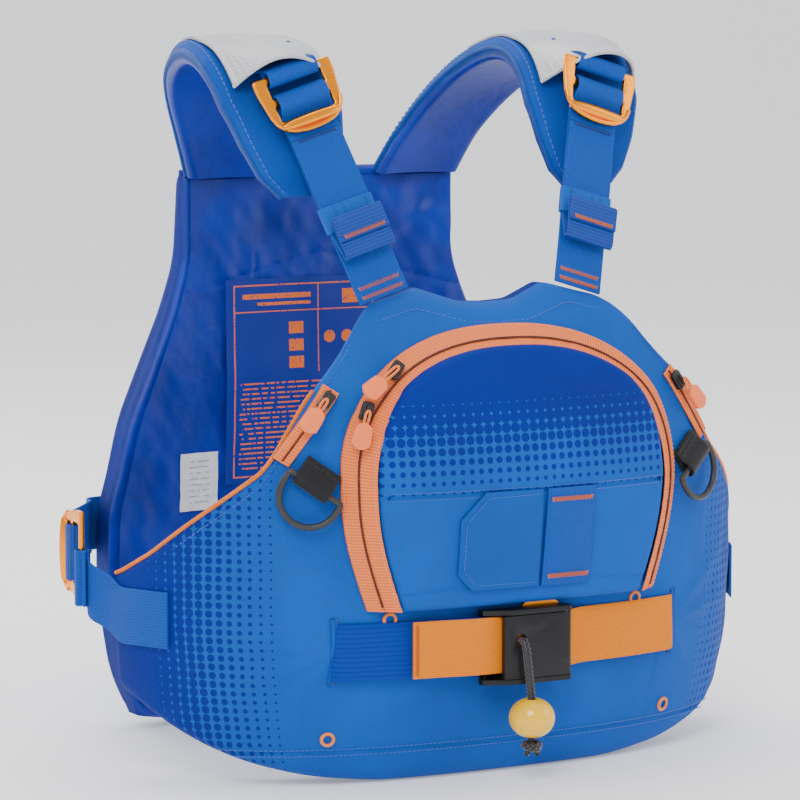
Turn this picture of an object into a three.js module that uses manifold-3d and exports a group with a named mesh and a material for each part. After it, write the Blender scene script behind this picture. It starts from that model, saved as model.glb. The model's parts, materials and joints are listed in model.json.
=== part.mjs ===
// Whitewater buoyancy vest with a quick-release rescue belt, standing on its hem.
// Millimetres, +Z up, the front faces -Y, and the origin is under the middle of the whole vest.
import * as THREE from "three";
import { mergeVertices } from "three/addons/utils/BufferGeometryUtils.js";
import Module from "manifold-3d";

// ---- Driving dimensions ----
const GAP = 0.3; // clearance between touching pieces
const TORSO_HALF_WIDTH = 240;
const FRONT_DEPTH = 168;
const BACK_DEPTH = 166;
const NECKLINE_HEIGHT = 316; // top of the front panel at the middle
const BACK_HEIGHT = 396; // top of the back panel
const SHOULDER_HEIGHT = 492; // top of the shoulder pads
const OVAL_POWER = 2.5; // squareness of the torso's oval
const FRONT_THICK = 42;
const BACK_THICK = 38;
const CLOTH = 3; // outer cover's wall
const LINING = 2;
const LINING_GAP = 0.6;
const FOAM_SLACK = 2.6; // room between the foam slab and the fabric round it
const PAD_THICK = 16;
const FRONT_EDGE_DEG = 83; // where the front panel ends at the side
const WEBBING_WIDTH = 38;
const WEBBING_THICK = 1.8;
const BELT_Z = 92.5;
const POCKET_PROUD = 13;
const POCKET_HALF_WIDTH = 129;
const POCKET_FOOT_HALF_WIDTH = 111;
const POCKET_BOTTOM_Z = 119.6;
const POCKET_SHOULDER_Z = 200;
const POCKET_TOP_Z = 303;
const TAPE_WIDTH = 9; // each half of the pocket zip
const TAPE_THICK = 1.6;
const BUCKLE_LENGTH = 66;
const BUCKLE_HEIGHT = 50;
const BALL_WIDTH = 31;
const BALL_HEIGHT = 27;
const CORD_DIAMETER = 5.6; // doubled braided cord
const SLIDER_WIDTH = 60;
const SLIDER_PLATE = 3;

const COLOURS = {
  cover: [0x0078cd, 0.85, 0],
  print: [0x0046b4, 0.85, 0],
  lining: [0x0038a8, 0.8, 0],
  foam: [0xd8d8d0, 0.9, 0],
  webbing: [0x0a6fd0, 0.75, 0],
  beltOrange: [0xf8991a, 0.7, 0],
  zip: [0xf8935a, 0.7, 0],
  pull: [0xfa9a3c, 0.5, 0],
  gold: [0xe8951c, 0.3, 0.9],
  black: [0x1c1c1e, 0.5, 0],
  yellow: [0xf6cf1c, 0.35, 0],
  reflective: [0xc8c8c8, 0.5, 0],
  label: [0xececec, 0.8, 0],
};

const manifold = await Module();
manifold.setup();

const vest = new THREE.Group();

// ---- Helpers ----
function clamp(value, low, high) {
  return Math.min(high, Math.max(low, value));
}

// A value that follows straight stretches between [place, value] stops.
function along(stops, place) {
  let i = 1;
  while (i < stops.length - 1 && place > stops[i][0]) i++;
  const [p0, v0] = stops[i - 1];
  const [p1, v1] = stops[i];
  return v0 + (v1 - v0) * clamp((place - p0) / (p1 - p0), 0, 1);
}

function closedGeometry(geometry) {
  geometry.deleteAttribute("normal");
  geometry.deleteAttribute("uv");
  const merged = mergeVertices(geometry, 1e-4);
  faceOutward(merged);
  merged.computeVertexNormals();
  return merged;
}

// Turns every triangle round when the closed surface's signed volume is negative.
function faceOutward(geometry) {
  const position = geometry.getAttribute("position");
  const index = geometry.index.array;
  const [a, b, c] = [0, 1, 2].map(() => new THREE.Vector3());
  let volume = 0;
  for (let i = 0; i < index.length; i += 3) {
    a.fromBufferAttribute(position, index[i]);
    b.fromBufferAttribute(position, index[i + 1]);
    c.fromBufferAttribute(position, index[i + 2]);
    volume += a.dot(b.cross(c));
  }
  if (volume > 0) return;
  for (let i = 0; i < index.length; i += 3) [index[i], index[i + 1]] = [index[i + 1], index[i]];
}

function add(parent, name, geometry, colour) {
  const [hex, roughness, metalness] = COLOURS[colour];
  const material = new THREE.MeshStandardMaterial({ color: hex, roughness, metalness });
  const mesh = new THREE.Mesh(geometry, material);
  mesh.name = name;
  parent.add(mesh);
  return mesh;
}

function pair(build) {
  for (const [side, sign] of [["left", -1], ["right", 1]]) {
    const group = new THREE.Group();
    group.scale.x = sign;
    vest.add(group);
    build(side, group);
  }
}

// Evenly spaced stops from -1 to 1 or 0 to 1, with extra ones that leave room for a rim at both ends.
function rimStops(low, high, count, rim) {
  const stops = [low, low + rim, low + rim * 1.02];
  for (let i = 1; i < count; i++) stops.push(low + ((high - low) * i) / count);
  stops.push(high - rim * 1.02, high - rim, high);
  return stops;
}

const withoutRim = (stops) => [stops[0], ...stops.slice(3, -3), stops[stops.length - 1]];

function evenStops(low, high, count) {
  return Array.from({ length: count + 1 }, (_, i) => low + ((high - low) * i) / count);
}

// A closed slab: place(u, v, w) gives each corner, w is 0 on the outer face and 1 on the inner one.
function slab(uStops, vStops, place) {
  const nu = uStops.length - 1;
  const nv = vStops.length - 1;
  const box = new THREE.BoxGeometry(1, 1, 1, nu, nv, 1);
  const position = box.getAttribute("position");
  const point = new THREE.Vector3();
  for (let i = 0; i < position.count; i++) {
    point.fromBufferAttribute(position, i);
    const iu = Math.round((point.x + 0.5) * nu);
    const iv = Math.round((point.y + 0.5) * nv);
    const at = place(uStops[iu], vStops[iv], point.z > 0 ? 0 : 1, iu, iv);
    position.setXYZ(i, at.x, at.y, at.z);
  }
  // The box's last face, the inner one, gets its diagonals turned to run beside the outer face's.
  const index = box.index.array;
  for (let i = index.length - 6 * nu * nv; i < index.length; i += 6) {
    const [a, b, d, , c] = index.slice(i, i + 5);
    index.set([a, b, c, a, c, d], i);
  }
  return closedGeometry(box);
}

// A flat strip of webbing that follows a path, with its width along one fixed direction.
function ribbon(path, widthAxis, width = WEBBING_WIDTH, thick = WEBBING_THICK) {
  const side = widthAxis.clone().normalize();
  const normals = path.map((p, i) => {
    const before = path[Math.max(0, i - 1)];
    const after = path[Math.min(path.length - 1, i + 1)];
    return new THREE.Vector3().subVectors(after, before).cross(side).normalize();
  });
  const stops = path.map((_, i) => i);
  return slab(stops, [-0.5, 0.5], (u, v, w) =>
    path[u].clone().addScaledVector(side, v * width).addScaledVector(normals[u], (0.5 - w) * thick),
  );
}

function solid(geometry) {
  return new manifold.Manifold(
    new manifold.Mesh({
      numProp: 3,
      vertProperties: geometry.getAttribute("position").array,
      triVerts: new Uint32Array(geometry.index.array),
    }),
  );
}

function fromSolid(body) {
  const mesh = body.getMesh();
  const geometry = new THREE.BufferGeometry();
  geometry.setAttribute("position", new THREE.BufferAttribute(mesh.vertProperties, 3));
  geometry.setIndex(new THREE.BufferAttribute(mesh.triVerts, 1));
  return geometry;
}

function cut(geometry, ...holes) {
  return fromSolid(holes.reduce((body, hole) => body.subtract(solid(closedGeometry(hole))), solid(geometry)));
}

function joined(...pieces) {
  return fromSolid(pieces.map((piece) => solid(piece)).reduce((body, piece) => body.add(piece)));
}

function extruded(shape, depth, curveSegments = 4) {
  return closedGeometry(new THREE.ExtrudeGeometry(shape, { depth, bevelEnabled: false, curveSegments }));
}

function placed(geometry, x, y, z) {
  return closedGeometry(geometry.clone().translate(x, y, z));
}

function roundedOutline(halfX, halfY, radius) {
  const shape = new THREE.Shape();
  const corners = [
    [halfX - radius, halfY - radius, 0],
    [radius - halfX, halfY - radius, 0.5],
    [radius - halfX, radius - halfY, 1],
    [halfX - radius, radius - halfY, 1.5],
  ];
  for (const [x, y, turn] of corners) {
    shape.absarc(x, y, radius, turn * Math.PI, (turn + 0.5) * Math.PI, false);
  }
  shape.closePath();
  return shape;
}

// ---- Torso surface ----
const scaleX = TORSO_HALF_WIDTH / 240;
const WIDTH_STOPS = [[0, 224], [60, 236], [120, 240], [180, 238], [240, 232], [320, 226], [400, 222]];
const FRONT_STOPS = [[0, 142], [30, 153], [100, 163], [200, 168], [260, 160], [300, 140], [335, 112]];
const BACK_STOPS = [[0, 150], [40, 160], [120, 166], [220, 163], [320, 154], [400, 144]];

function halfWidth(z) {
  return along(WIDTH_STOPS, z) * scaleX;
}
function frontDepth(z) {
  return (along(FRONT_STOPS, z) * FRONT_DEPTH) / 168;
}
function backDepth(z) {
  return (along(BACK_STOPS, z) * BACK_DEPTH) / 166;
}

// A point on the torso: angle from the middle of the front, height, and depth under the surface.
function torso(angle, z, depth) {
  const forward = Math.cos(angle) > 0;
  const a = halfWidth(z) - depth;
  const b = (forward ? frontDepth(z) : backDepth(z)) - depth;
  const x = Math.abs(Math.sin(angle) / a) ** OVAL_POWER;
  const y = Math.abs(Math.cos(angle) / b) ** OVAL_POWER;
  const r = (x + y) ** (-1 / OVAL_POWER);
  return new THREE.Vector3(r * Math.sin(angle), -r * Math.cos(angle), z);
}

// The same front surface by distance from the middle, standing proud of it.
function front(x, z, proud) {
  const share = (Math.abs(x) / (halfWidth(z) + proud)) ** OVAL_POWER;
  return new THREE.Vector3(x, -(frontDepth(z) + proud) * (1 - share) ** (1 / OVAL_POWER), z);
}

function frontNormal(x, z) {
  const alongX = front(x + 1, z, 0).sub(front(x - 1, z, 0));
  const alongZ = front(x, z + 1, 0).sub(front(x, z - 1, 0));
  return alongX.cross(alongZ).normalize();
}

// ---- Front panel ----
const FRONT_EDGE = THREE.MathUtils.degToRad(FRONT_EDGE_DEG);
const deg = THREE.MathUtils.radToDeg;
// Height of the top edge by angle, down from the neckline: strap lugs, armhole slope, side.
const TOP_STOPS = [
  [0, 0], [10, 1], [19, 7], [25, 11], [38.5, 1], [42, -27], [46.5, -51], [50, -76],
  [53, -99], [59, -117], [67, -140], [73, -158], [80, -173], [86, -180],
];
const HEM_STOPS = [[0, 0], [35, 0], [49, 5], [60, 16], [70, 34], [77, 50], [84, 62]];
const FRONT_THICK_STOPS = [[0, 0.8], [40, 1], [230, 1], [335, 0.45]];

function frontTop(angle) {
  return NECKLINE_HEIGHT + along(TOP_STOPS, deg(Math.abs(angle)));
}
function frontHem(angle) {
  return along(HEM_STOPS, deg(Math.abs(angle)));
}
function frontThick(z) {
  return FRONT_THICK * along(FRONT_THICK_STOPS, z);
}
function frontPlace(u, v, depthOf) {
  const angle = u * FRONT_EDGE;
  const z = frontHem(angle) + (frontTop(angle) - frontHem(angle)) * v;
  return torso(angle, z, depthOf(z));
}

const RIM_U = 0.011;
const RIM_V = 0.013;
const frontColumns = rimStops(-1, 1, 26, RIM_U);
const frontRows = rimStops(0, 1, 7, RIM_V);

// A fabric shell: its face and the turned-in walls round its edge, open behind.
function cover(columns, rows, place, thick) {
  const lastU = columns.length - 1;
  const lastV = rows.length - 1;
  return slab(columns, rows, (u, v, w, iu, iv) => {
    const rim = iu < 2 || iv < 2 || iu > lastU - 2 || iv > lastV - 2;
    return place(u, v, (z) => (w === 0 ? 0 : rim ? thick(z) : CLOTH));
  });
}

add(vest, "front_cover", cover(frontColumns, frontRows, frontPlace, frontThick), "cover");
add(
  vest,
  "front_foam",
  slab(frontColumns.slice(3, -3), [RIM_V + 0.003, ...frontRows.slice(3, -3)], (u, v, w) =>
    frontPlace(u, v, (z) => (w === 0 ? CLOTH + FOAM_SLACK : frontThick(z) - FOAM_SLACK)),
  ),
  "foam",
);
add(
  vest,
  "front_lining",
  slab(withoutRim(frontColumns), withoutRim(frontRows), (u, v, w) =>
    frontPlace(u, v, (z) => frontThick(z) + LINING_GAP + (w === 0 ? 0 : LINING)),
  ),
  "lining",
);

// ---- Back panel ----
const BACK_EDGE_STOPS = [
  [0, 150], [40, 168], [96, 177], [158, 176], [178, 168], [219, 157], [296, 121], [330, 110], [400, 110],
];
const BACK_THICK_STOPS = [[0, 0.8], [40, 1], [240, 1], [400, 0.5]];
const BACK_HEM_STOPS = [[0, 0], [100, 0], [150, 10], [180, 24]];

function backThick(z) {
  return BACK_THICK * along(BACK_THICK_STOPS, z);
}
function backPlace(u, v, depthOf) {
  const hem = along(BACK_HEM_STOPS, Math.abs(u) * 150);
  const z = hem + (BACK_HEIGHT - hem) * v;
  const x = u * along(BACK_EDGE_STOPS, z) * scaleX;
  const depth = depthOf(z);
  const share = (Math.abs(x) / (halfWidth(z) + 8)) ** OVAL_POWER;
  return new THREE.Vector3(x, (backDepth(z) - depth) * (1 - share) ** (1 / OVAL_POWER), z);
}
const BACK_RIM_V = 0.009;
const backColumns = rimStops(-1, 1, 12, 0.02);
const backRows = rimStops(0, 1, 8, BACK_RIM_V);
add(vest, "back_cover", cover(backColumns, backRows, backPlace, backThick), "cover");
add(
  vest,
  "back_foam",
  slab(backColumns.slice(3, -3), [BACK_RIM_V + 0.002, ...backRows.slice(3, -3)], (u, v, w) =>
    backPlace(u, v, (z) => (w === 0 ? CLOTH + FOAM_SLACK : backThick(z) - FOAM_SLACK)),
  ),
  "foam",
);
add(
  vest,
  "back_lining",
  slab(withoutRim(backColumns), withoutRim(backRows), (u, v, w) =>
    backPlace(u, v, (z) => backThick(z) + LINING_GAP + (w === 0 ? 0 : LINING)),
  ),
  "lining",
);

// ---- Shoulder pads: an arch from the back panel's top, over the shoulder, to a lobe in front ----
const PAD_PATH = [
  // y, z, middle x, width
  [126, BACK_HEIGHT + GAP, 76, 66],
  [112, 432, 92, 64],
  [84, 466, 109, 68],
  [42, 487, 119, 76],
  [2, 492, 122, 84],
  [-34, 480, 121, 90],
  [-57, 452, 118, 88],
  [-68, 424, 115, 74],
  [-73, 402, 113, 56],
  [-75, 388, 112, 30],
];
const PLAIN_SHOULDER = 492; // the height that the path's rows are drawn for
const padRise = SHOULDER_HEIGHT - PLAIN_SHOULDER;
const padFoot = BACK_HEIGHT + GAP;
// Behind the shoulder the path stretches from the back panel's top; in front it rises as a whole.
const padHeight = (y, z) => z + padRise * (y > 0 ? (z - padFoot) / (PLAIN_SHOULDER - padFoot) : 1);
const padCurve = new THREE.CatmullRomCurve3(
  PAD_PATH.map(([y, z, x]) => new THREE.Vector3(x * scaleX, y, padHeight(y, z))),
);
const padWidth = (t) => along(PAD_PATH.map((row, i) => [i / (PAD_PATH.length - 1), row[3]]), t);

// The pad's outer face: share of its length, share of its width, and height over that face.
function pad(t, across, lift) {
  const p = padCurve.getPoint(t);
  const tangent = padCurve.getTangent(t);
  const level = new THREE.Vector3(1, 0, 0);
  const normal = tangent.clone().cross(level).normalize();
  const up = t === 0 ? new THREE.Vector3(0, 1, 0) : normal;
  if (up.dot(new THREE.Vector3(0, 20 - p.y, 440 - p.z)) > 0) up.negate();
  const crown = 3 * (1 - (2 * across) ** 2);
  return p.addScaledVector(level, across * padWidth(t)).addScaledVector(up, lift + crown - 3);
}

// ---- Shoulder strap frame: the slider's middle bar is the origin ----
const sliderAt = new THREE.Vector3(116 * scaleX, -73, 455 + padRise);
const strapFoot = front(75 * scaleX, NECKLINE_HEIGHT + 6, 0);
const strapUp = sliderAt.clone().sub(strapFoot).normalize();
const strapOut = new THREE.Vector3(0, -1, 0).addScaledVector(strapUp, strapUp.y).normalize();
const strapSide = new THREE.Vector3().crossVectors(strapOut, strapUp).normalize();
const strapLength = sliderAt.distanceTo(strapFoot);

// A point of that frame, by distance outward and distance up the strap.
function strapPoint(outward, up) {
  return sliderAt.clone().addScaledVector(strapOut, outward).addScaledVector(strapUp, up);
}
const strapPath = (points) => points.map(([outward, up]) => strapPoint(outward, up));
const strapBasis = new THREE.Matrix4()
  .makeBasis(strapSide.clone().negate(), strapUp, strapOut)
  .setPosition(sliderAt);

const BAR = 5; // slider's bars, along the strap
const SLOT = 11; // openings between them
const LIP = 9;
const topBarUp = BAR / 2 + SLOT + BAR / 2;
const layerBack = -5.4; // where the strap's two layers lie, outward of the middle bar
const layerFront = -3.2;
const tailFold = -strapLength * 0.78;
const keeperUp = -strapLength * 0.58;

// Ladder-lock slider: upper bar, middle bar and a lip, with two slots.
function ladderLock() {
  const top = topBarUp + BAR / 2;
  const bottom = -BAR / 2 - SLOT - LIP;
  const outline = new THREE.Shape();
  outline.moveTo(-SLIDER_WIDTH / 2, top);
  outline.lineTo(SLIDER_WIDTH / 2, top);
  outline.lineTo(SLIDER_WIDTH / 2, top - 9);
  outline.lineTo(SLIDER_WIDTH / 2 - 4, bottom + 12);
  outline.absarc(SLIDER_WIDTH / 2 - 12, bottom + 8, 8, 0, -Math.PI / 2, true);
  outline.absarc(12 - SLIDER_WIDTH / 2, bottom + 8, 8, -Math.PI / 2, -Math.PI, true);
  outline.lineTo(4 - SLIDER_WIDTH / 2, bottom + 12);
  outline.lineTo(-SLIDER_WIDTH / 2, top - 9);
  outline.closePath();
  const plate = extruded(outline, SLIDER_PLATE, 4).translate(0, 0, -SLIDER_PLATE / 2);
  const slot = new THREE.BoxGeometry(WEBBING_WIDTH + 3, SLOT, SLIDER_PLATE * 2);
  const offset = (BAR + SLOT) / 2;
  return cut(plate, slot.clone().translate(0, offset, 0), slot.clone().translate(0, -offset, 0));
}

// Webbing that comes from one side, goes round a bar at `bar` and returns: [outward, up] points.
function roundBar(bar, sign, reach, back, returned) {
  const r = Math.hypot(SLIDER_PLATE, BAR) / 2 + GAP + WEBBING_THICK / 2; // the bar can turn inside
  return [
    [back, bar + sign * reach],
    [back, bar + sign * 8],
    [-r, bar + sign * 4],
    [-r, bar],
    [-r * 0.7, bar - sign * r],
    [0, bar - sign * r * 1.3],
    [r * 0.7, bar - sign * r],
    [r, bar],
    [r, bar + sign * 4],
    [returned, bar + sign * 13],
    [returned, bar + sign * reach],
  ];
}

pair((side, group) => {
  const padRows = evenStops(0, 1, 14);
  const padBody = slab([-0.5, -0.3, 0, 0.3, 0.5], padRows, (u, v, w) => {
    const edge = Math.abs(u) === 0.5 ? 2.5 : 0;
    return pad(v, u, w === 0 ? -edge : edge - PAD_THICK);
  });
  add(group, side + "_shoulder_pad", padBody, "cover");

  const patch = slab([-0.42, -0.2, 0, 0.2, 0.42], evenStops(0.3, 0.585, 6), (u, v, w) => {
    const arch = 0.05 * (1 - (u / 0.42) ** 2);
    const t = v - (arch * Math.max(0, v - 0.5)) / 0.085;
    return pad(t, u, (w === 0 ? 1.6 : 0) + 0.6 + 3.6 * clamp((v - 0.44) * 9, 0, 1));
  });
  add(group, side + "_reflective_patch", patch, "reflective");

  const anchor = ribbon(strapPath(roundBar(topBarUp, 1, 21, -5.4, -1.6)), strapSide);
  add(group, side + "_strap_anchor", anchor, "webbing");

  const slider = ladderLock().applyMatrix4(strapBasis);
  add(group, side + "_shoulder_slider", slider, "gold");

  const loopReach = 27;
  const loop = ribbon(strapPath(roundBar(0, -1, loopReach, layerBack, layerFront)), strapSide);
  add(group, side + "_strap_loop", loop, "webbing");

  const strap = ribbon(
    strapPath([[layerBack, -loopReach - GAP], [layerBack, keeperUp], [layerBack, -strapLength + 2]]),
    strapSide,
  );
  add(group, side + "_shoulder_strap", strap, "webbing");

  const tail = ribbon(
    strapPath([
      [layerFront, -loopReach - GAP],
      [layerFront, keeperUp + 12],
      [layerFront, keeperUp - 12],
      [layerFront + 2, keeperUp - 16],
      [layerFront + 6, tailFold + 2],
      [layerFront + 8, tailFold + 1],
      [layerFront + 9, tailFold + 4],
      [layerFront + 9, tailFold + 14],
      [layerFront + 8, tailFold + 28],
    ]),
    strapSide,
  );
  add(group, side + "_strap_tail", tail, "webbing");

  const keeperDepth = 2 * WEBBING_THICK + 2;
  const keeper = cut(
    extruded(roundedOutline(WEBBING_WIDTH / 2 + 2.2, keeperDepth / 2 + 1.4, 2), 18, 3),
    new THREE.BoxGeometry(WEBBING_WIDTH + 1.2, keeperDepth, 60),
  );
  const keeperBasis = new THREE.Matrix4()
    .makeBasis(strapSide, strapOut.clone(), strapUp)
    .setPosition(strapPoint((layerBack + layerFront) / 2, keeperUp - 9));
  add(group, side + "_strap_keeper", keeper.applyMatrix4(keeperBasis), "webbing");
});

// ---- Side adjusters: webbing across the open side, from the front panel to the back panel ----
const SIDE_TAB_Z = 112;
const SIDE_SLIDER_Z = 146;
const sideAt = new THREE.Vector3((TORSO_HALF_WIDTH - 240) + 243, 16, SIDE_SLIDER_Z);
const sideForward = new THREE.Vector3(0.12, -1, 0).normalize(); // from the lip to the upper bar
const sideOut = new THREE.Vector3(1, 0.12, 0).normalize();
const UP = new THREE.Vector3(0, 0, 1);
const sideBasis = new THREE.Matrix4()
  .makeBasis(new THREE.Vector3().crossVectors(sideForward, sideOut), sideForward, sideOut)
  .setPosition(sideAt);

function sidePoint(outward, forward, z = SIDE_SLIDER_Z) {
  const p = sideAt.clone().addScaledVector(sideOut, outward).addScaledVector(sideForward, forward);
  return p.setZ(z);
}

function backFace(x, z, proud) {
  const share = (Math.abs(x) / (halfWidth(z) + 8)) ** OVAL_POWER;
  return new THREE.Vector3(x, (backDepth(z) + proud) * (1 - share) ** (1 / OVAL_POWER), z);
}

pair((side, group) => {
  const tabAngles = [71, 75, 79, 82.5].map((d) => THREE.MathUtils.degToRad(d));
  const front1 = tabAngles.map((angle) => torso(angle, SIDE_TAB_Z, -1.6 * scaleX));
  const loopFront = roundBar(topBarUp, 1, 14, 1.2, -2.6).map(([o, f]) => sidePoint(-o, f));
  loopFront[0].z -= 16;
  loopFront[loopFront.length - 1].z -= 14;
  add(group, side + "_side_anchor", ribbon([...front1, ...loopFront], UP), "webbing");

  add(group, side + "_side_slider", ladderLock().applyMatrix4(sideBasis), "gold");

  const reach = 28;
  const loop = roundBar(0, -1, reach, layerBack, layerFront).map(([o, f]) => sidePoint(o, f));
  add(group, side + "_side_loop", ribbon(loop, UP), "webbing");

  const edge = along(BACK_EDGE_STOPS, SIDE_SLIDER_Z) * scaleX;
  const corner = backFace(edge, SIDE_SLIDER_Z, 0);
  const rear = [
    sidePoint(layerBack, -reach - GAP),
    sidePoint(layerBack - 6, -reach - 22),
    new THREE.Vector3(edge + 6, corner.y - 9, SIDE_SLIDER_Z),
    new THREE.Vector3(edge + 3, corner.y + 2, SIDE_SLIDER_Z),
    ...[8, 18, 30].map((inward) => backFace(edge - inward, SIDE_SLIDER_Z, 2)),
  ];
  add(group, side + "_side_strap", ribbon(rear, UP), "webbing");
});

// ---- D-rings on their webbing tabs ----
const RING_HALF = 20;
const RING_WIRE = 4.4;
const RING_LIFT = 6;
const ringAt = front(146.5 * scaleX, 203, 0);
const ringNormal = frontNormal(ringAt.x, ringAt.z);
const ringBar = new THREE.Vector3(0.83, 0, 0.56);
ringBar.addScaledVector(ringNormal, -ringBar.dot(ringNormal)).normalize();
const ringDown = new THREE.Vector3().crossVectors(ringNormal, ringBar).normalize();
if (ringDown.z > 0) ringDown.negate();

function ringShape(inset) {
  const half = RING_HALF - inset;
  const shape = new THREE.Shape();
  shape.moveTo(-half, RING_WIRE / 2 - inset);
  shape.lineTo(half, RING_WIRE / 2 - inset);
  shape.lineTo(half, -7);
  shape.absellipse(0, -7, half, half, 0, -Math.PI, true, 0);
  shape.closePath();
  return shape;
}

pair((side, group) => {
  const basis = new THREE.Matrix4()
    .makeBasis(ringBar, ringDown.clone().negate(), ringNormal)
    .setPosition(ringAt.clone().addScaledVector(ringNormal, RING_LIFT - RING_WIRE / 2));
  const inner = extruded(ringShape(RING_WIRE), RING_WIRE * 3, 8).translate(0, 0, -RING_WIRE);
  const ring = cut(extruded(ringShape(0), RING_WIRE, 8), inner);
  add(group, side + "_d_ring", closedGeometry(ring.applyMatrix4(basis)), "black");

  const wrap = [
    [-16, 1.6], [-4, 1.6], [0, 1.6], [3.2, 2.9], [4.5, 6],
    [3.2, 9.1], [0, 10.4], [-5, 9], [-10, 5.4], [-16, 3.8],
  ];
  const path = wrap.map(([down, out]) =>
    ringAt.clone().addScaledVector(ringDown, down).addScaledVector(ringNormal, out),
  );
  add(group, side + "_d_ring_tab", ribbon(path, ringBar, 26, 1.6), "black");
});

// ---- Front pocket with its clamshell zip ----
const ARCH_POWER = 2.3;

// A point of the pocket's face: across -1 to 1, up 0 to 1, inside its outline, proud of the torso.
function pocket(across, up, inset, proud) {
  const s = Math.sin((across * Math.PI) / 2);
  const foot = (POCKET_FOOT_HALF_WIDTH - inset) * scaleX;
  const half = foot + (POCKET_HALF_WIDTH - POCKET_FOOT_HALF_WIDTH) * scaleX * Math.sin((up * Math.PI) / 2);
  const arch = (1 - Math.abs(s) ** ARCH_POWER) ** (1 / ARCH_POWER);
  const top = POCKET_SHOULDER_Z + (POCKET_TOP_Z - inset - POCKET_SHOULDER_Z) * arch;
  return front(s * half, POCKET_BOTTOM_Z + (top - POCKET_BOTTOM_Z) * up, proud);
}

// The pocket's outline from the left foot over the arch to the right foot, t from -1 to 1.
const ARCH_SHARE = 0.6;
function pocketEdge(t, inset, proud) {
  if (Math.abs(t) <= ARCH_SHARE) return pocket(t / ARCH_SHARE, 1, inset, proud);
  return pocket(Math.sign(t), (1 - Math.abs(t)) / (1 - ARCH_SHARE), inset, proud);
}

function crown(x, z) {
  const side = 1 - (x / (POCKET_HALF_WIDTH * scaleX)) ** 2;
  const height = (z - POCKET_BOTTOM_Z) / (POCKET_TOP_Z - POCKET_BOTTOM_Z);
  return 5 * Math.max(0, side) * Math.sin(Math.PI * clamp(height, 0, 1));
}
function panelFace(x, z, lift) {
  return front(x, z, POCKET_PROUD + crown(x, z) + lift);
}

const PANEL_INSET = 2 * TAPE_WIDTH + 1.6;
const PANEL_WALL = 2.4;
const panelColumns = rimStops(-1, 1, 12, 0.05);
const panelRows = rimStops(0, 1, 6, 0.016);
const panel = slab(panelColumns, panelRows, (u, v, w, iu, iv) => {
  const rim = iu < 2 || iv < 2 || iu > panelColumns.length - 3 || iv > panelRows.length - 3;
  const flat = pocket(u, v, PANEL_INSET, 0);
  const face = POCKET_PROUD + crown(flat.x, flat.z);
  return pocket(u, v, PANEL_INSET, w === 0 ? face : rim ? 1 : face - PANEL_WALL);
});
add(vest, "pocket_panel", panel, "print");

const tapeStops = [
  ...evenStops(-1, -ARCH_SHARE, 4),
  ...evenStops(-ARCH_SHARE, ARCH_SHARE, 14).slice(1, -1),
  ...evenStops(ARCH_SHARE, 1, 4),
];
const tapeRise = (POCKET_PROUD - 2) / 2;
for (const [name, start, low] of [
  ["pocket_zip_tape_vest", 0, TAPE_THICK + 0.5],
  ["pocket_zip_tape_panel", TAPE_WIDTH + GAP, TAPE_THICK + 0.5 + tapeRise],
]) {
  const tape = slab(tapeStops, [0, 1], (t, across, w) =>
    pocketEdge(t, start + across * TAPE_WIDTH, low + tapeRise * across - w * TAPE_THICK),
  );
  add(vest, name, tape, "zip");
}

const PATCH_LEFT = -56;
const PATCH_RIGHT = 5;
const PATCH_CHAMFER = 18;
const LASH_BOTTOM_Z = 131;
const LASH_TOP_Z = 197;
const lashPatch = slab(
  [PATCH_LEFT, PATCH_LEFT + PATCH_CHAMFER, -12, PATCH_RIGHT],
  evenStops(0, 1, 3),
  (x, v, w) => {
    const corner = x === PATCH_LEFT ? PATCH_CHAMFER : 0;
    const low = LASH_BOTTOM_Z + corner * 0.6;
    const high = LASH_TOP_Z - corner;
    return panelFace(x * scaleX, low + (high - low) * v, w === 0 ? 3 : 0.5);
  },
);
add(vest, "lash_patch", lashPatch, "cover");
const lashStops = evenStops(0, 1, 4);
const lash = slab(evenStops(-0.5, 0.5, 2), lashStops, (across, v, w) => {
  const x = 26.5 + 8 * v + across * WEBBING_WIDTH;
  return panelFace(x * scaleX, LASH_BOTTOM_Z + (LASH_TOP_Z - LASH_BOTTOM_Z) * v, w === 0 ? 2.6 : 0.5);
});
add(vest, "lash_webbing", lash, "webbing");

// ---- Zip sliders and their rubber pulls ----
const ZIP_STANDOFF = 2.25;
// A frame on the torso at a point: +Y along `direction`, +Z out of the fabric.
function zipFrame(at, direction) {
  const normal = frontNormal(at.x, at.z);
  const alongZip = direction.clone().addScaledVector(normal, -direction.dot(normal)).normalize();
  const across = new THREE.Vector3().crossVectors(alongZip, normal);
  return new THREE.Matrix4().makeBasis(across, alongZip, normal).setPosition(at);
}

function zipSlider() {
  const body = extruded(roundedOutline(4, 6.5, 1.6), 3.6, 2);
  const lug = placed(new THREE.BoxGeometry(2.6, 7, 3.4), 0, -0.5, 4.8);
  return joined(body, lug);
}

const PULL_CORD = 11;
const PULL_LENGTH = 18;
function zipPull(cordLength = PULL_CORD) {
  const cord = placed(new THREE.BoxGeometry(3, cordLength, 1.8), 0, cordLength / 2, 0);
  const grip = extruded(roundedOutline(6.5, PULL_LENGTH / 2, 4), 4.4, 3);
  return joined(cord, closedGeometry(grip.translate(0, cordLength + PULL_LENGTH / 2 - 1, -2.2)));
}

const PULL_LIFT = 8; // height of the pull's hinge over the slider's foot
function addZip(group, name, at, runs, hangs, cordLength) {
  add(group, name + "_slider", closedGeometry(zipSlider().applyMatrix4(zipFrame(at, runs))), "black");
  const hinge = at.clone().addScaledVector(frontNormal(at.x, at.z), PULL_LIFT);
  const basis = zipFrame(at, hangs).setPosition(hinge);
  add(group, name + "_pull", closedGeometry(zipPull(cordLength).applyMatrix4(basis)), "pull");
}

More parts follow.
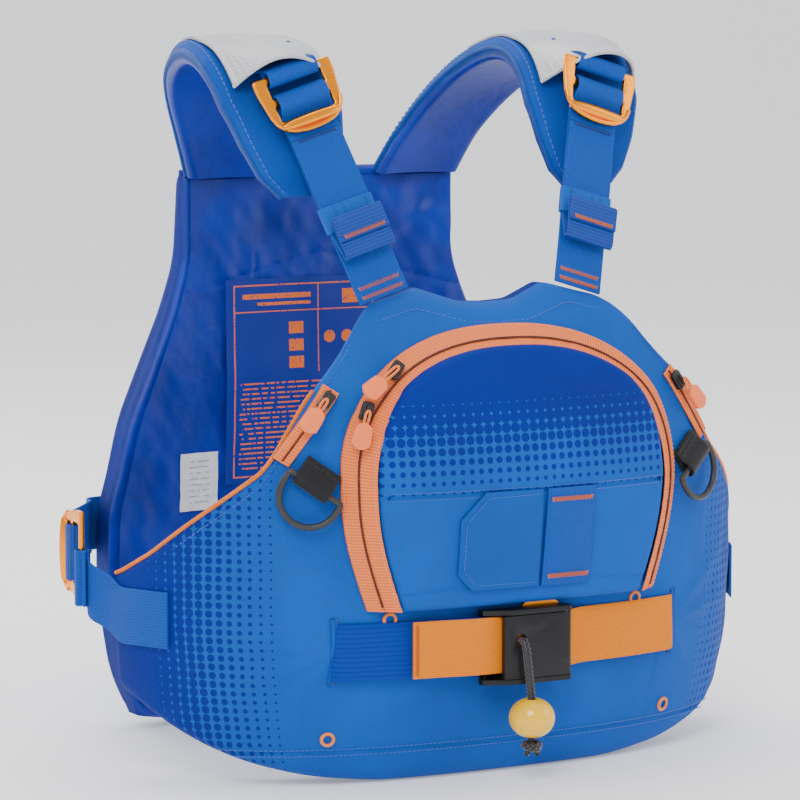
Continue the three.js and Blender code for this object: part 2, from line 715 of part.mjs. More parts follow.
const zipProud = TAPE_THICK + 0.5 + tapeRise / 2 + ZIP_STANDOFF;
const upperZip = pocketEdge(-0.3, TAPE_WIDTH / 2 - 1, zipProud);
const lowerZip = pocketEdge(-0.425, TAPE_WIDTH / 2 - 1, zipProud);
for (const [name, at, runs, hangs, cordLength] of [
  ["pocket_upper_zip", upperZip, [-0.62, 0, -0.78], [-0.8, 0, -0.6], 15],
  ["pocket_lower_zip", lowerZip, [-0.35, 0, -0.94], [-0.3, 0, -0.95], 9],
]) {
  addZip(vest, name, at, new THREE.Vector3(...runs), new THREE.Vector3(...hangs), cordLength);
}

const SIDE_ZIP_TOP = [130, 266];
const SIDE_ZIP_BOTTOM = [164, 219];
const SIDE_TAPE_WIDTH = 11;
function sideZipPoint(t, across, proud) {
  const [x0, z0] = SIDE_ZIP_TOP;
  const [x1, z1] = SIDE_ZIP_BOTTOM;
  const length = Math.hypot(x1 - x0, z1 - z0);
  const x = x0 + (x1 - x0) * t + (across * (z0 - z1)) / length;
  const z = z0 + (z1 - z0) * t + (across * (x1 - x0)) / length;
  return front(x * scaleX, z, proud);
}
pair((side, group) => {
  const tape = slab(evenStops(0, 1, 6), [-0.5, 0.5], (t, across, w) =>
    sideZipPoint(t, across * SIDE_TAPE_WIDTH, w === 0 ? TAPE_THICK + 0.4 : 0.4),
  );
  add(group, side + "_side_zip_tape", tape, "zip");
  const start = sideZipPoint(0.16, 0, TAPE_THICK + 1.2);
  const runs = sideZipPoint(0.85, 0, TAPE_THICK + 1.2).sub(start);
  addZip(group, side + "_side_zip", start, runs, new THREE.Vector3(0.62, 0, -0.78), 9);
});

// ---- Rescue belt and its quick-release buckle ----
const BELT_HALF_SPAN = 127; // where it enters its slots in the front panel
const beltTop = BELT_Z + WEBBING_WIDTH / 2;
const beltSurface = (x, proud) => front(x, beltTop, proud).setZ(BELT_Z);
const beltPath = (points) => points.map(([x, proud]) => beltSurface(x, proud));
const slotX = BELT_HALF_SPAN * scaleX;
const outer = [1, 0.8, 0.6];
add(
  vest,
  "belt_blue",
  ribbon(
    beltPath([
      ...outer.map((share) => [-slotX * share, 1.5]),
      [-48, 1.5], [-32, 1.3], [-26, 1.6], [-23.8, 4.6], [-26, 7.7], [-34, 7.6], [-46, 4.6], [-62, 3.9],
    ]),
    UP.clone().negate(),
  ),
  "webbing",
);
add(
  vest,
  "belt_orange",
  ribbon(
    beltPath([
      [-82, 6.8], [-62, 7.4], [-40, 10.4], [-20, 10.6], [14, 10.6], [26, 8.4], [36, 7.3], [48, 1.9],
      ...outer.slice().reverse().map((share) => [slotX * share, 1.5]),
    ]),
    UP.clone().negate(),
  ),
  "beltOrange",
);

const buckleY = -frontDepth(beltTop);
const BUCKLE_Z = BELT_Z - 1.5;
const PLATE_PROUD = 3.4;
const PLATE_THICK = 2.4;
const FLANGE = 3.4;
const FLANGE_PROUD = 17;
const PIVOT_X = BUCKLE_LENGTH / 2 - 5;
const PIVOT_PROUD = 14.2;
const PIN_RADIUS = 1.4;
const halfLength = BUCKLE_LENGTH / 2;
const halfHeight = BUCKLE_HEIGHT / 2;

// A box between two heights proud of the front panel.
function buckleBox(x0, x1, z0, z1, near, far) {
  const box = new THREE.BoxGeometry(x1 - x0, far - near, z1 - z0);
  return placed(box, (x0 + x1) / 2, buckleY - (near + far) / 2, BUCKLE_Z + (z0 + z1) / 2);
}
function upright(radius, height, sides = 12) {
  return closedGeometry(new THREE.CylinderGeometry(radius, radius, height, sides).rotateX(Math.PI / 2));
}

function flange(z0) {
  const shape = new THREE.Shape();
  shape.moveTo(-halfLength, PLATE_PROUD);
  shape.lineTo(halfLength, PLATE_PROUD);
  shape.lineTo(halfLength, FLANGE_PROUD - 3);
  shape.lineTo(halfLength - 3, FLANGE_PROUD);
  shape.lineTo(-halfLength + 18, FLANGE_PROUD);
  shape.lineTo(-halfLength, FLANGE_PROUD - 8);
  shape.closePath();
  const plate = extruded(shape, FLANGE);
  const upward = new THREE.Matrix4().makeBasis(
    new THREE.Vector3(1, 0, 0),
    new THREE.Vector3(0, -1, 0),
    new THREE.Vector3(0, 0, 1),
  );
  return closedGeometry(plate.applyMatrix4(upward).translate(0, buckleY, BUCKLE_Z + z0));
}

const pinPlace = [PIVOT_X, buckleY - PIVOT_PROUD, BUCKLE_Z];
const frameBody = joined(
  buckleBox(-halfLength, halfLength, -halfHeight + 1, halfHeight - 1, PLATE_PROUD, PLATE_PROUD + PLATE_THICK),
  flange(halfHeight - FLANGE),
  flange(-halfHeight),
);
add(
  vest,
  "buckle_frame",
  cut(
    frameBody,
    buckleBox(-halfLength + 4.5, -halfLength + 12, -21.5, 21.5, 0, 9),
    placed(upright(PIN_RADIUS + GAP, 80), ...pinPlace),
  ),
  "black",
);
add(vest, "buckle_pin", placed(upright(PIN_RADIUS, BUCKLE_HEIGHT - 0.6), ...pinPlace), "gold");

const LEVER_LEFT = -21;
const leverHalf = halfHeight - FLANGE - GAP - 0.2;
const CORD_HOLE_X = -8;
const CORD_HOLE_Z = 5; // above the buckle's middle
const leverBody = joined(
  buckleBox(LEVER_LEFT, PIVOT_X + 1, -leverHalf, leverHalf, PIVOT_PROUD - 0.6, PIVOT_PROUD + 3.4),
  placed(upright(3.4, 2 * leverHalf), ...pinPlace),
);
const CORD_ROOM = 1; // round the cord in its hole
const holeRadius = CORD_DIAMETER / 2 + CORD_ROOM;
const cordBore = new THREE.CylinderGeometry(holeRadius, holeRadius, 20, 12);
add(
  vest,
  "buckle_lever",
  cut(
    leverBody,
    placed(upright(PIN_RADIUS + GAP, 80), ...pinPlace),
    placed(cordBore, CORD_HOLE_X, buckleY - PIVOT_PROUD, BUCKLE_Z + CORD_HOLE_Z),
  ),
  "black",
);

const triglide = cut(
  buckleBox(0, 30, -halfHeight - 1.4, halfHeight + 3.2, 1.9, 3.1),
  buckleBox(5, 25, -20, 20, 0, 9),
);
add(vest, "triglide", triglide, "gold");

// Toggle: a doubled cord through the lever, a ball and a stopper knot.
const cordX = CORD_HOLE_X;
const cordTopZ = BUCKLE_Z + CORD_HOLE_Z;
const BALL_Z = 44;
const BALL_X = -3;
const cordFront = buckleY - PIVOT_PROUD - 3.4;
const ballY = cordFront - 4.8;
const knotTop = BALL_Z - BALL_HEIGHT / 2 - 1.2;
const CORD_ROUTE = [
  [cordX, cordFront + 0.6, cordTopZ],
  [cordX, cordFront - 2.2, cordTopZ - 0.4],
  [cordX + 0.3, ballY - 0.6, cordTopZ - 5.5],
  [cordX + 1.4, ballY - 0.6, cordTopZ - 14],
  [cordX + 2.8, ballY - 0.3, cordTopZ - 24],
  [cordX + 4.2, ballY, cordTopZ - 34],
  [BALL_X, ballY, BALL_Z + 6],
  [BALL_X, ballY, knotTop],
];
const cordCurve = new THREE.CatmullRomCurve3(CORD_ROUTE.map((p) => new THREE.Vector3(...p)));
const cordSection = new THREE.Shape().absarc(0, 0, CORD_DIAMETER / 2, 0, 2 * Math.PI, false);
const cordShape = { steps: 12, extrudePath: cordCurve, curveSegments: 8 };
const cordTube = new THREE.ExtrudeGeometry(cordSection, cordShape);
add(vest, "toggle_cord", closedGeometry(cordTube), "black");

const bore = CORD_DIAMETER / 2 + 2 * GAP;
const ballProfile = [];
const boreAngle = Math.asin(bore / (BALL_WIDTH / 2));
for (let i = 0; i <= 8; i++) {
  const angle = boreAngle + ((Math.PI - 2 * boreAngle) * i) / 8;
  const r = (Math.sin(angle) * BALL_WIDTH) / 2;
  ballProfile.push(new THREE.Vector2(r, (-Math.cos(angle) * BALL_HEIGHT) / 2));
}
ballProfile.push(ballProfile[0].clone());
const ball = new THREE.LatheGeometry(ballProfile, 14).rotateX(Math.PI / 2);
add(vest, "toggle_ball", placed(ball, BALL_X, ballY, BALL_Z), "yellow");
const knot = new THREE.SphereGeometry(1, 10, 8).scale(7, 6, 5.6);
add(vest, "toggle_knot", placed(knot, BALL_X, ballY, knotTop - GAP - 5.6), "black");

// ---- Care label on the inner lining ----
const label = slab([-0.655, -0.51], [0.385, 0.49], (u, v, w) =>
  backPlace(u, v, (z) => backThick(z) + LINING_GAP + LINING + (w === 0 ? 0.5 : 1.3)),
);
add(vest, "care_label", label, "label");

// ---- Stand the vest on its hem with the origin under the middle of its rigid pieces ----
const loose = ["toggle_cord", "toggle_ball", "toggle_knot"];
vest.updateMatrixWorld(true);
const bounds = new THREE.Box3();
vest.traverse((piece) => {
  if (piece.isMesh && !loose.includes(piece.name)) bounds.expandByObject(piece, true);
});
vest.position.y = -(bounds.min.y + bounds.max.y) / 2;

const part = new THREE.Group();
part.add(vest);
export default part;
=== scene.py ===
"""Looks of a whitewater buoyancy vest: its cloth, webbing and fittings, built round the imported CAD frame.
Metres, +Z up, the front of the vest faces -Y."""
import json
import math

import bmesh
import bpy
import numpy as np
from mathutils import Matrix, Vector

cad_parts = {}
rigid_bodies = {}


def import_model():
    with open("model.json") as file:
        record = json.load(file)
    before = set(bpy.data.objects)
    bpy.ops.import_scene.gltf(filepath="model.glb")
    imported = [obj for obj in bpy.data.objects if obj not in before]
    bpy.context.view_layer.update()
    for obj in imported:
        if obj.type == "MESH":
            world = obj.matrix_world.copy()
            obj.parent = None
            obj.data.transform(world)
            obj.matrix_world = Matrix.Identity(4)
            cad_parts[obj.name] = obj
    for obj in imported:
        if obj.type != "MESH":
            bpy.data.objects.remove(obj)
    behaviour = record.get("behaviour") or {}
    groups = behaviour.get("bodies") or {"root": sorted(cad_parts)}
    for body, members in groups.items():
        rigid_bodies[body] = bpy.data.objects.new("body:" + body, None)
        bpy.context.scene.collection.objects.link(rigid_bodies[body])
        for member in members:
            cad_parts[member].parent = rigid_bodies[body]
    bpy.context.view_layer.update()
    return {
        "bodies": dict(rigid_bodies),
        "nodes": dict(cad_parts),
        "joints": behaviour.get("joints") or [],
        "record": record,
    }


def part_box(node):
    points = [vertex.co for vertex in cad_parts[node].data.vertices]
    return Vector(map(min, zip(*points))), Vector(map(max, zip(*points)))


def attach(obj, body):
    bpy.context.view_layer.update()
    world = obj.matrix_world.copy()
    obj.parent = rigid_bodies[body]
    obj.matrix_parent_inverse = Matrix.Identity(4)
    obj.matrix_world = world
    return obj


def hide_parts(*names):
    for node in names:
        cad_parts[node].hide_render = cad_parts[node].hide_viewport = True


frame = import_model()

# ---- Driving sizes, the same as the frame's ----
OVAL = 2.5
NECKLINE = 0.316
BACK_TOP = 0.396
FRONT_THICK = 0.042
BACK_THICK = 0.038
PAD_THICK = 0.016
FRONT_EDGE = math.radians(83)
WEBBING = 0.038
WEBBING_THICK = 0.0018
BELT_Z = 0.0925
POCKET_PROUD = 0.013
POCKET_HALF = 0.129
POCKET_FOOT_HALF = 0.111
POCKET_BOTTOM = 0.1196
POCKET_SHOULDER = 0.200
POCKET_TOP = 0.303
TAPE = 0.009
HEM_SEAM = 0.0235
SLOT_AT = 0.129

WIDTH_STOPS = [
    (0, 0.224), (0.06, 0.236), (0.12, 0.240), (0.18, 0.238), (0.24, 0.232), (0.32, 0.226), (0.4, 0.222),
]
FRONT_STOPS = [
    (0, 0.142), (0.03, 0.153), (0.1, 0.163), (0.2, 0.168), (0.26, 0.160), (0.3, 0.140), (0.335, 0.112),
]
BACK_STOPS = [(0, 0.150), (0.04, 0.160), (0.12, 0.166), (0.22, 0.163), (0.32, 0.154), (0.4, 0.144)]
TOP_STOPS = [
    (0, 0), (10, 0.001), (19, 0.007), (25, 0.011), (38.5, 0.001), (42, -0.027), (46.5, -0.051), (50, -0.076),
    (53, -0.099), (59, -0.117), (67, -0.140), (73, -0.158), (80, -0.173), (86, -0.180),
]
HEM_STOPS = [(0, 0), (35, 0), (49, 0.005), (60, 0.016), (70, 0.034), (77, 0.050), (84, 0.062)]
THICK_STOPS = [(0, 0.8), (0.04, 1), (0.23, 1), (0.335, 0.45)]
BACK_EDGE_STOPS = [
    (0, 0.150), (0.04, 0.168), (0.096, 0.177), (0.158, 0.176), (0.178, 0.168), (0.219, 0.157),
    (0.296, 0.121), (0.33, 0.110), (0.4, 0.110),
]
BACK_THICK_STOPS = [(0, 0.8), (0.04, 1), (0.24, 1), (0.4, 0.5)]
BACK_HEM_STOPS = [(0, 0), (0.1, 0), (0.15, 0.010), (0.18, 0.024)]


# ---- Numbers and places ----
def along(table, at, soft=0.0):
    """A value that follows (place, value) stops, with its corners rounded over a distance."""
    places, values = zip(*table)
    shifts = np.linspace(-soft, soft, 7)
    return np.mean([np.interp(np.asarray(at) + shift, places, values) for shift in shifts], axis=0)


def place3(x, y, z):
    return np.stack(np.broadcast_arrays(x, y, z), -1).astype(float)


def unit(vector):
    vector = np.asarray(vector, float)
    return vector / np.maximum(np.linalg.norm(vector, axis=-1, keepdims=True), 1e-12)


def half_width(z):
    return along(WIDTH_STOPS, z, 0.01)


def front_depth(z):
    return along(FRONT_STOPS, z, 0.008)


def back_depth(z):
    return along(BACK_STOPS, z, 0.01)


PIVOT_PROUD = 0.0142
BUCKLE_Z = BELT_Z - 0.0015
BELT_TOP = BELT_Z + WEBBING / 2
pin_low, pin_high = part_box("buckle_pin")
PIN = (pin_low + pin_high) / 2
BUCKLE_Y = PIN.y + PIVOT_PROUD
SHIFT = BUCKLE_Y + along(FRONT_STOPS, BELT_TOP)  # the torso's own middle, from the vest's


def torso(angle, z, depth=0.0):
    """A point of the torso's oval: angle from the middle of the front, height, depth under the cloth."""
    wide = half_width(z) - depth
    deep = np.where(np.cos(angle) > 0, front_depth(z), back_depth(z)) - depth
    reach = (np.abs(np.sin(angle) / wide) ** OVAL + np.abs(np.cos(angle) / deep) ** OVAL) ** (-1 / OVAL)
    return place3(reach * np.sin(angle), SHIFT - reach * np.cos(angle), z)


def front(x, z, proud=0.0):
    share = np.clip(np.abs(x) / (half_width(z) + proud), 0, 0.9999) ** OVAL
    return place3(x, SHIFT - (front_depth(z) + proud) * (1 - share) ** (1 / OVAL), z)


def front_normal(x, z):
    step = 0.001
    across = front(x + step, z) - front(x - step, z)
    up = front(x, z + step) - front(x, z - step)
    return unit(np.cross(across, up))


def back_face(x, z, proud=0.0):
    share = np.clip(np.abs(x) / (half_width(z) + 0.008), 0, 0.9999) ** OVAL
    return place3(x, SHIFT + (back_depth(z) + proud) * (1 - share) ** (1 / OVAL), z)


def front_top(angle):
    return NECKLINE + along(TOP_STOPS, np.degrees(np.abs(angle)), 1.6)


def front_hem(angle):
    return along(HEM_STOPS, np.degrees(np.abs(angle)), 4)


def ripples(x, z, size, seed):
    """Soft folds with no direction of their own, from -1 to 1."""
    draw = np.random.default_rng(seed)
    total = 0
    for _ in range(7):
        turn, phase, stretch = draw.uniform(0, math.tau), draw.uniform(0, math.tau), draw.uniform(0.6, 1.5)
        total = total + np.sin((x * math.cos(turn) + z * math.sin(turn)) * math.tau / size * stretch + phase)
    return total / 4


def fold(x, z, start, end, width):
    """A crease along a straight stretch: 1 on its line, fading to the sides and towards its far end."""
    a, b = np.array(start), np.array(end)
    line = b - a
    t = ((x - a[0]) * line[0] + (z - a[1]) * line[1]) / (line @ line)
    off = ((x - a[0]) * line[1] - (z - a[1]) * line[0]) / np.linalg.norm(line)
    fade = np.clip(t * 6, 0, 1) * np.clip((1 - t) * 1.6, 0, 1)
    return np.exp(-((off / (width * (0.6 + np.clip(t, 0, 1)))) ** 2)) * fade


def groove(distance, width):
    return np.exp(-((distance / width) ** 2))


# ---- Meshes ----
class Sewing:
    """Gathers the faces of one piece, with each point's place on its cloth, and makes the mesh."""

    def __init__(self):
        self.points, self.cloth, self.faces, self.parts, self.count = [], [], [], [], 0

    def add(self, points, cloth, faces, part=0):
        self.points.append(np.asarray(points, float).reshape(-1, 3))
        self.cloth.append(np.asarray(cloth, float).reshape(-1, 3))
        self.faces.extend([[i + self.count for i in face] for face in faces])
        self.parts.extend([part] * len(faces))
        self.count += len(self.points[-1])

    def grid(self, points, cloth, part=0, wrap_rows=False, wrap_columns=False):
        """A sheet of quads; returns the numbers of its points, row by row."""
        rows, columns = points.shape[:2]
        numbers = np.arange(rows * columns).reshape(rows, columns) + self.count
        walk = np.vstack([numbers, numbers[:1]]) if wrap_rows else numbers
        walk = np.hstack([walk, walk[:, :1]]) if wrap_columns else walk
        quads = np.stack([walk[:-1, :-1], walk[1:, :-1], walk[1:, 1:], walk[:-1, 1:]], -1).reshape(-1, 4)
        self.points.append(points.reshape(-1, 3))
        self.cloth.append(np.broadcast_to(cloth, points.shape).reshape(-1, 3))
        self.faces.extend(quads.tolist())
        self.parts.extend([part] * len(quads))
        self.count += rows * columns
        return numbers

    def join(self, loop_a, loop_b, part=0):
        """Quads between two closed rings of points."""
        a, b = np.asarray(loop_a), np.asarray(loop_b)
        quads = np.stack([a, np.roll(a, -1), np.roll(b, -1), b], -1)
        self.faces.extend(quads.tolist())
        self.parts.extend([part] * len(quads))

    def cap(self, loop, part=0):
        self.faces.append([int(i) for i in loop])
        self.parts.append(part)

    def make(self, name, body, slot, finishes, stands_for=(), sharp=38, weld=False):
        mesh = bpy.data.meshes.new(name)
        mesh.from_pydata(np.concatenate(self.points).tolist(), [], self.faces)
        for finish in finishes:
            mesh.materials.append(finish)
        mesh.polygons.foreach_set("material_index", self.parts)
        cloth = mesh.attributes.new("cloth", "FLOAT_VECTOR", "POINT")
        cloth.data.foreach_set("vector", np.concatenate(self.cloth).astype(np.float32).ravel())
        shape = bmesh.new()
        shape.from_mesh(mesh)
        if weld:
            bmesh.ops.remove_doubles(shape, verts=shape.verts, dist=0.00002)
        bmesh.ops.recalc_face_normals(shape, faces=shape.faces)
        shape.to_mesh(mesh)
        shape.free()
        mesh.polygons.foreach_set("use_smooth", [True] * len(mesh.polygons))
        mesh.set_sharp_from_angle(angle=math.radians(sharp))
        piece = bpy.data.objects.new(name, mesh)
        bpy.context.scene.collection.objects.link(piece)
        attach(piece, body)
        if stands_for:
            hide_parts(*stands_for)
        return piece


def rim(numbers):
    """The ring of points round a grid's edge."""
    return np.concatenate([numbers[0, :], numbers[1:, -1], numbers[-1, -2::-1], numbers[-2:0:-1, 0]])


def sewn_panel(sewing, outer, inner, cloth, face_part=0, wall_part=1, inner_part=2, walls=3):
    """A closed panel from its two faces: outer and inner grids, joined round the edge by a wall."""
    outside = sewing.grid(outer, cloth, face_part)
    inside = sewing.grid(inner, cloth, inner_part)
    flat_outer, flat_inner = outer.reshape(-1, 3), inner.reshape(-1, 3)
    ring = rim(outside) - outside[0, 0]
    last = rim(outside)
    run = run_along(flat_outer[ring])
    for i in range(1, walls):
        share = i / walls
        points = flat_outer[ring] * (1 - share) + flat_inner[ring] * share
        on_cloth = place3(run, share * 0.03, 0)
        numbers = np.arange(len(ring)) + sewing.count
        sewing.add(points, on_cloth, [])
        sewing.join(last, numbers, wall_part)
        last = numbers
    sewing.join(last, rim(inside), wall_part)


def edge_fall(near_u, near_v, radius):
    """How far a face rounds down by its edges: distances from the two edges, and the round's radius."""
    u = np.clip(1 - near_u / radius, 0, 1)
    v = np.clip(1 - near_v / radius, 0, 1)
    return radius * (1 - np.sqrt(1 - np.clip(np.hypot(u, v), 0, 1) ** 2))


def edged(low, high, count, radius):
    """Places between two edges: even in the middle and closer where the edges round over."""
    close = radius * (1 - np.cos(np.linspace(0, math.pi / 2, 6)[:-1]))
    low, high = np.asarray(low, float)[..., None], np.asarray(high, float)[..., None]
    middle = (low + radius) + (high - low - 2 * radius) * np.linspace(0, 1, count)
    return np.concatenate([low + close, middle, high - close[::-1]], -1)


def through(knots, closed=False):
    """Points on a smooth curve through the given ones, the same number for each stretch."""
    knots = np.asarray(knots, float)
    if closed:
        knots = np.vstack([knots[-1], knots, knots[0], knots[1]])
    else:
        knots = np.vstack([2 * knots[0] - knots[1], knots, 2 * knots[-1] - knots[-2]])
    fine = []
    for p0, p1, p2, p3 in zip(knots, knots[1:], knots[2:], knots[3:]):
        d0, d1, d2 = [max(np.linalg.norm(b - a), 1e-9) ** 0.5 for a, b in ((p0, p1), (p1, p2), (p2, p3))]
        m1 = ((p1 - p0) / d0 - (p2 - p0) / (d0 + d1) + (p2 - p1) / d1) * d1
        m2 = ((p2 - p1) / d1 - (p3 - p1) / (d1 + d2) + (p3 - p2) / d2) * d1
        t = np.linspace(0, 1, 24, endpoint=False)[:, None]
        fine.append(p1 + m1 * t + (3 * (p2 - p1) - 2 * m1 - m2) * t**2 + (2 * (p1 - p2) + m1 + m2) * t**3)
    return np.vstack(fine + ([] if closed else [knots[-2][None]]))


def run_along(points):
    """The distance from the first point to each point along a line of them."""
    return np.concatenate([[0], np.cumsum(np.linalg.norm(np.diff(points, axis=0), axis=1))])


def smooth_path(points, count, closed=False):
    """Points along a smooth curve through the given ones, evenly spaced."""
    fine = through(points, closed)
    if closed:
        fine = np.vstack([fine, fine[:1]])
    run = run_along(fine)
    at = np.linspace(0, run[-1], count + 1)[:-1] if closed else np.linspace(0, run[-1], count)
    return np.stack([np.interp(at, run, fine[:, k]) for k in range(3)], -1)


def path_length(points):
    return float(np.linalg.norm(np.diff(points, axis=0), axis=1).sum())


def frames(path, hint, closed=False):
    """For each point of a path, its direction and two cross directions, turning as little as they can."""
    ahead = np.roll(path, -1, 0) if closed else np.vstack([path[1:], 2 * path[-1] - path[-2]])
    behind = np.roll(path, 1, 0) if closed else np.vstack([2 * path[0] - path[1], path[:-1]])
    forward = unit(ahead - behind)
    side = np.zeros_like(forward)
    last = np.asarray(hint, float)
    for i, direction in enumerate(forward):
        last = unit(last - direction * (last @ direction))
        side[i] = last
    return forward, side, np.cross(forward, side)


def tube(sewing, path, radius, sides=10, hint=(0, 0, 1), closed=False, part=0, flat=1.0, ends=True):
    """A round rod along a path; radius may change along it, and flat squeezes its second direction."""
    _, side, up = frames(path, hint, closed)
    radius = np.broadcast_to(radius, len(path))[:, None, None]
    turn = np.linspace(0, math.tau, sides, endpoint=False)[None, :, None]
    points = path[:, None] + radius * (np.cos(turn) * side[:, None] + flat * np.sin(turn) * up[:, None])
    run = run_along(path)[:, None]
    cloth = place3(turn[..., 0] / math.tau, run, 0)
    numbers = sewing.grid(points, cloth, part, wrap_rows=closed, wrap_columns=True)
    if ends and not closed:
        sewing.cap(numbers[0], part)
        sewing.cap(numbers[-1], part)
    return numbers


def webbing(sewing, points, side, width=WEBBING, thick=WEBBING_THICK, step=0.0015, part=0, bow=0.0):
    """A woven strap along a path, with its width along one direction and its edges rounded."""
    count = max(6, int(path_length(np.asarray(points)) / step))
    path = smooth_path(points, count)
    across = unit(side)
    ahead = np.gradient(path, axis=0)
    normal = unit(np.cross(ahead, across))
    run = run_along(path)
    half, edge = width / 2, thick / 2
    span = np.linspace(-half + edge, half - edge, 13)
    top = [(s, edge) for s in span]
    right = [(half - edge + edge * math.cos(a), edge * math.sin(a)) for a in (math.pi / 4, 0, -math.pi / 4)]
    low = [(s, -edge) for s in span[::-1]]
    left = [(-half + edge - edge * math.cos(a), edge * math.sin(a)) for a in (-math.pi / 4, 0, math.pi / 4)]
    section = np.array(top + right + low + left)
    lift = section[:, 1] + bow * (1 - (section[:, 0] / half) ** 2)
    rings = path[:, None] + across * section[None, :, :1] + normal[:, None] * lift[None, :, None]
    cloth = place3(section[None, :, 0], run[:, None], 0)
    numbers = sewing.grid(rings, cloth, part, wrap_columns=True)
    sewing.cap(numbers[0], part)
    sewing.cap(numbers[-1], part)
    return path


def stitches(sewing, path, normal, pitch=0.0034, length=0.0024, radius=0.00035, part=0):
    """A row of sewing thread along a path that lies on cloth."""
    total = path_length(path)
    run = run_along(path)
    normal = np.broadcast_to(normal, path.shape)
    for start in np.arange(pitch / 2, total - length, pitch):
        at = np.linspace(start, start + length, 4)
        line = np.stack([np.interp(at, run, path[:, k]) for k in range(3)], -1)
        up = np.stack([np.interp(at, run, normal[:, k]) for k in range(3)], -1)
        sink = np.array([-0.6, 0.35, 0.35, -0.6])[:, None] * radius
        tube(sewing, line + up * sink, radius, 5, hint=unit(up[0]), part=part)


# ---- Materials: shader maths written as plain expressions ----
class Value:
    """A number, colour or vector socket of a material, so that its maths reads as ordinary arithmetic."""

    def __init__(self, maker, socket):
        self.maker, self.socket = maker, socket

    def _pair(self, operation, a, b):
        return self.maker.node("Math", {"operation": operation}, {0: a, 1: b})

    def __add__(self, other):
        return self._pair("ADD", self, other)

    def __radd__(self, other):
        return self._pair("ADD", other, self)

    def __sub__(self, other):
        return self._pair("SUBTRACT", self, other)

    def __rsub__(self, other):
        return self._pair("SUBTRACT", other, self)

    def __mul__(self, other):
        return self._pair("MULTIPLY", self, other)

    def __rmul__(self, other):
        return self._pair("MULTIPLY", other, self)

    def __truediv__(self, other):
        return self._pair("DIVIDE", self, other)

    def __lt__(self, other):
        return self._pair("LESS_THAN", self, other)

    def maths(self, operation, other=0.5, third=0.5):
        return self.maker.node("Math", {"operation": operation}, {0: self, 1: other, 2: third})

    def wave(self, length):
        """A sine along a distance, from -1 to 1."""
        return (self * (math.tau / length)).maths("SINE")

    def step(self, start, end):
        """0 before start, 1 after end, smooth between; the two may be given in falling order."""
        settings = {"interpolation_type": "SMOOTHSTEP"}
        if start < end:
            return self.maker.node("MapRange", settings, {0: self, 1: start, 2: end, 3: 0.0, 4: 1.0})
        return self.maker.node("MapRange", settings, {0: self, 1: end, 2: start, 3: 1.0, 4: 0.0})

    def stripe(self, middle, half, soft):
        """1 inside a band of this half width round the middle, with soft edges."""
        return (self - middle).maths("ABSOLUTE").step(half + soft, half - soft)

    def cell(self, pitch):
        """The distance from the middle of the nearest of cells a pitch apart."""
        return (self / pitch - 0.5).maths("FRACT") * pitch - pitch / 2


class Finish:
    """One material: its Principled shader and the few calls that build its nodes."""

    def __init__(self, name, colour, roughness, **settings):
        self.material = bpy.data.materials.new(name)
        self.material.use_nodes = True
        self.tree = self.material.node_tree
        self.shader = self.tree.nodes["Principled BSDF"]
        self.shader.inputs["Base Color"].default_value = (*colour, 1)
        self.shader.inputs["Roughness"].default_value = roughness
        for socket, value in settings.items():
            self.shader.inputs[socket.replace("_", " ")].default_value = value
        self.material.diffuse_color = (*colour, 1)

    def plug(self, socket, value):
        if isinstance(value, Value):
            self.tree.links.new(value.socket, socket)
        elif socket.type == "RGBA" and len(value) == 3:
            socket.default_value = (*value, 1)
        else:
            socket.default_value = value

    def node(self, kind, settings=None, inputs=None, output=0):
        made = self.tree.nodes.new("ShaderNode" + kind)
        for name, value in (settings or {}).items():
            setattr(made, name, value)
        for name, value in (inputs or {}).items():
            self.plug(made.inputs[name], value)
        return Value(self, made.outputs[output])

    def mix(self, share, a, b):
        return self.node("Mix", {"data_type": "RGBA"}, {0: share, 6: a, 7: b}, 2)

    def noise(self, where, scale, detail=2.0, rough=0.5):
        inputs = {"Vector": where, "Scale": scale, "Detail": detail, "Roughness": rough}
        return self.node("TexNoise", None, inputs)

    def place(self):
        return self.node("TexCoord", None, None, 3)

    def attribute(self, name):
        """The three numbers of a named vertex attribute."""
        vector = self.node("Attribute", {"attribute_name": name}, None, 1)
        parts = self.tree.nodes.new("ShaderNodeSeparateXYZ")
        self.tree.links.new(vector.socket, parts.inputs[0])
        return vector, [Value(self, parts.outputs[i]) for i in range(3)]

    def set(self, **sockets):
        for name, value in sockets.items():
            self.plug(self.shader.inputs[name.replace("_", " ")], value)

    def bump(self, height, distance, strength=1.0, normal=None):
        inputs = {"Height": height, "Distance": distance, "Strength": strength}
        if normal is not None:
            inputs["Normal"] = normal
        made = self.node("Bump", None, inputs)
        self.set(Normal=made)
        return made


def shade(colour, share):
    return tuple(min(1.0, c * share) for c in colour)


MID_BLUE = (0.0, 0.088, 0.440)
ROYAL = (0.0, 0.016, 0.240)
LINING_BLUE = (0.0, 0.020, 0.290)
ORANGE = (0.930, 0.180, 0.012)
BELT_ORANGE = (0.950, 0.235, 0.0)
TAPE_ORANGE = (0.920, 0.190, 0.040)
GOLD = (0.960, 0.300, 0.004)
YELLOW = (0.900, 0.500, 0.0)
GREY_CLOTH = (0.640, 0.645, 0.650)
BLACK = (0.012, 0.012, 0.013)
CHARCOAL = (0.030, 0.030, 0.033)


def twill(finish, cloth, parts, pitch=0.0011):
    """The fine diagonal ribs of the cover's cloth, as a height from 0 to 1."""
    x, y, _ = parts
    ribs = (x + y).wave(pitch) * 0.5 + 0.5
    threads = (x - y * 0.35).wave(pitch * 0.8) * 0.25 + 0.25
    grain = finish.noise(cloth, 900)
    return ribs * 0.6 + threads * 0.5 + grain * 0.5


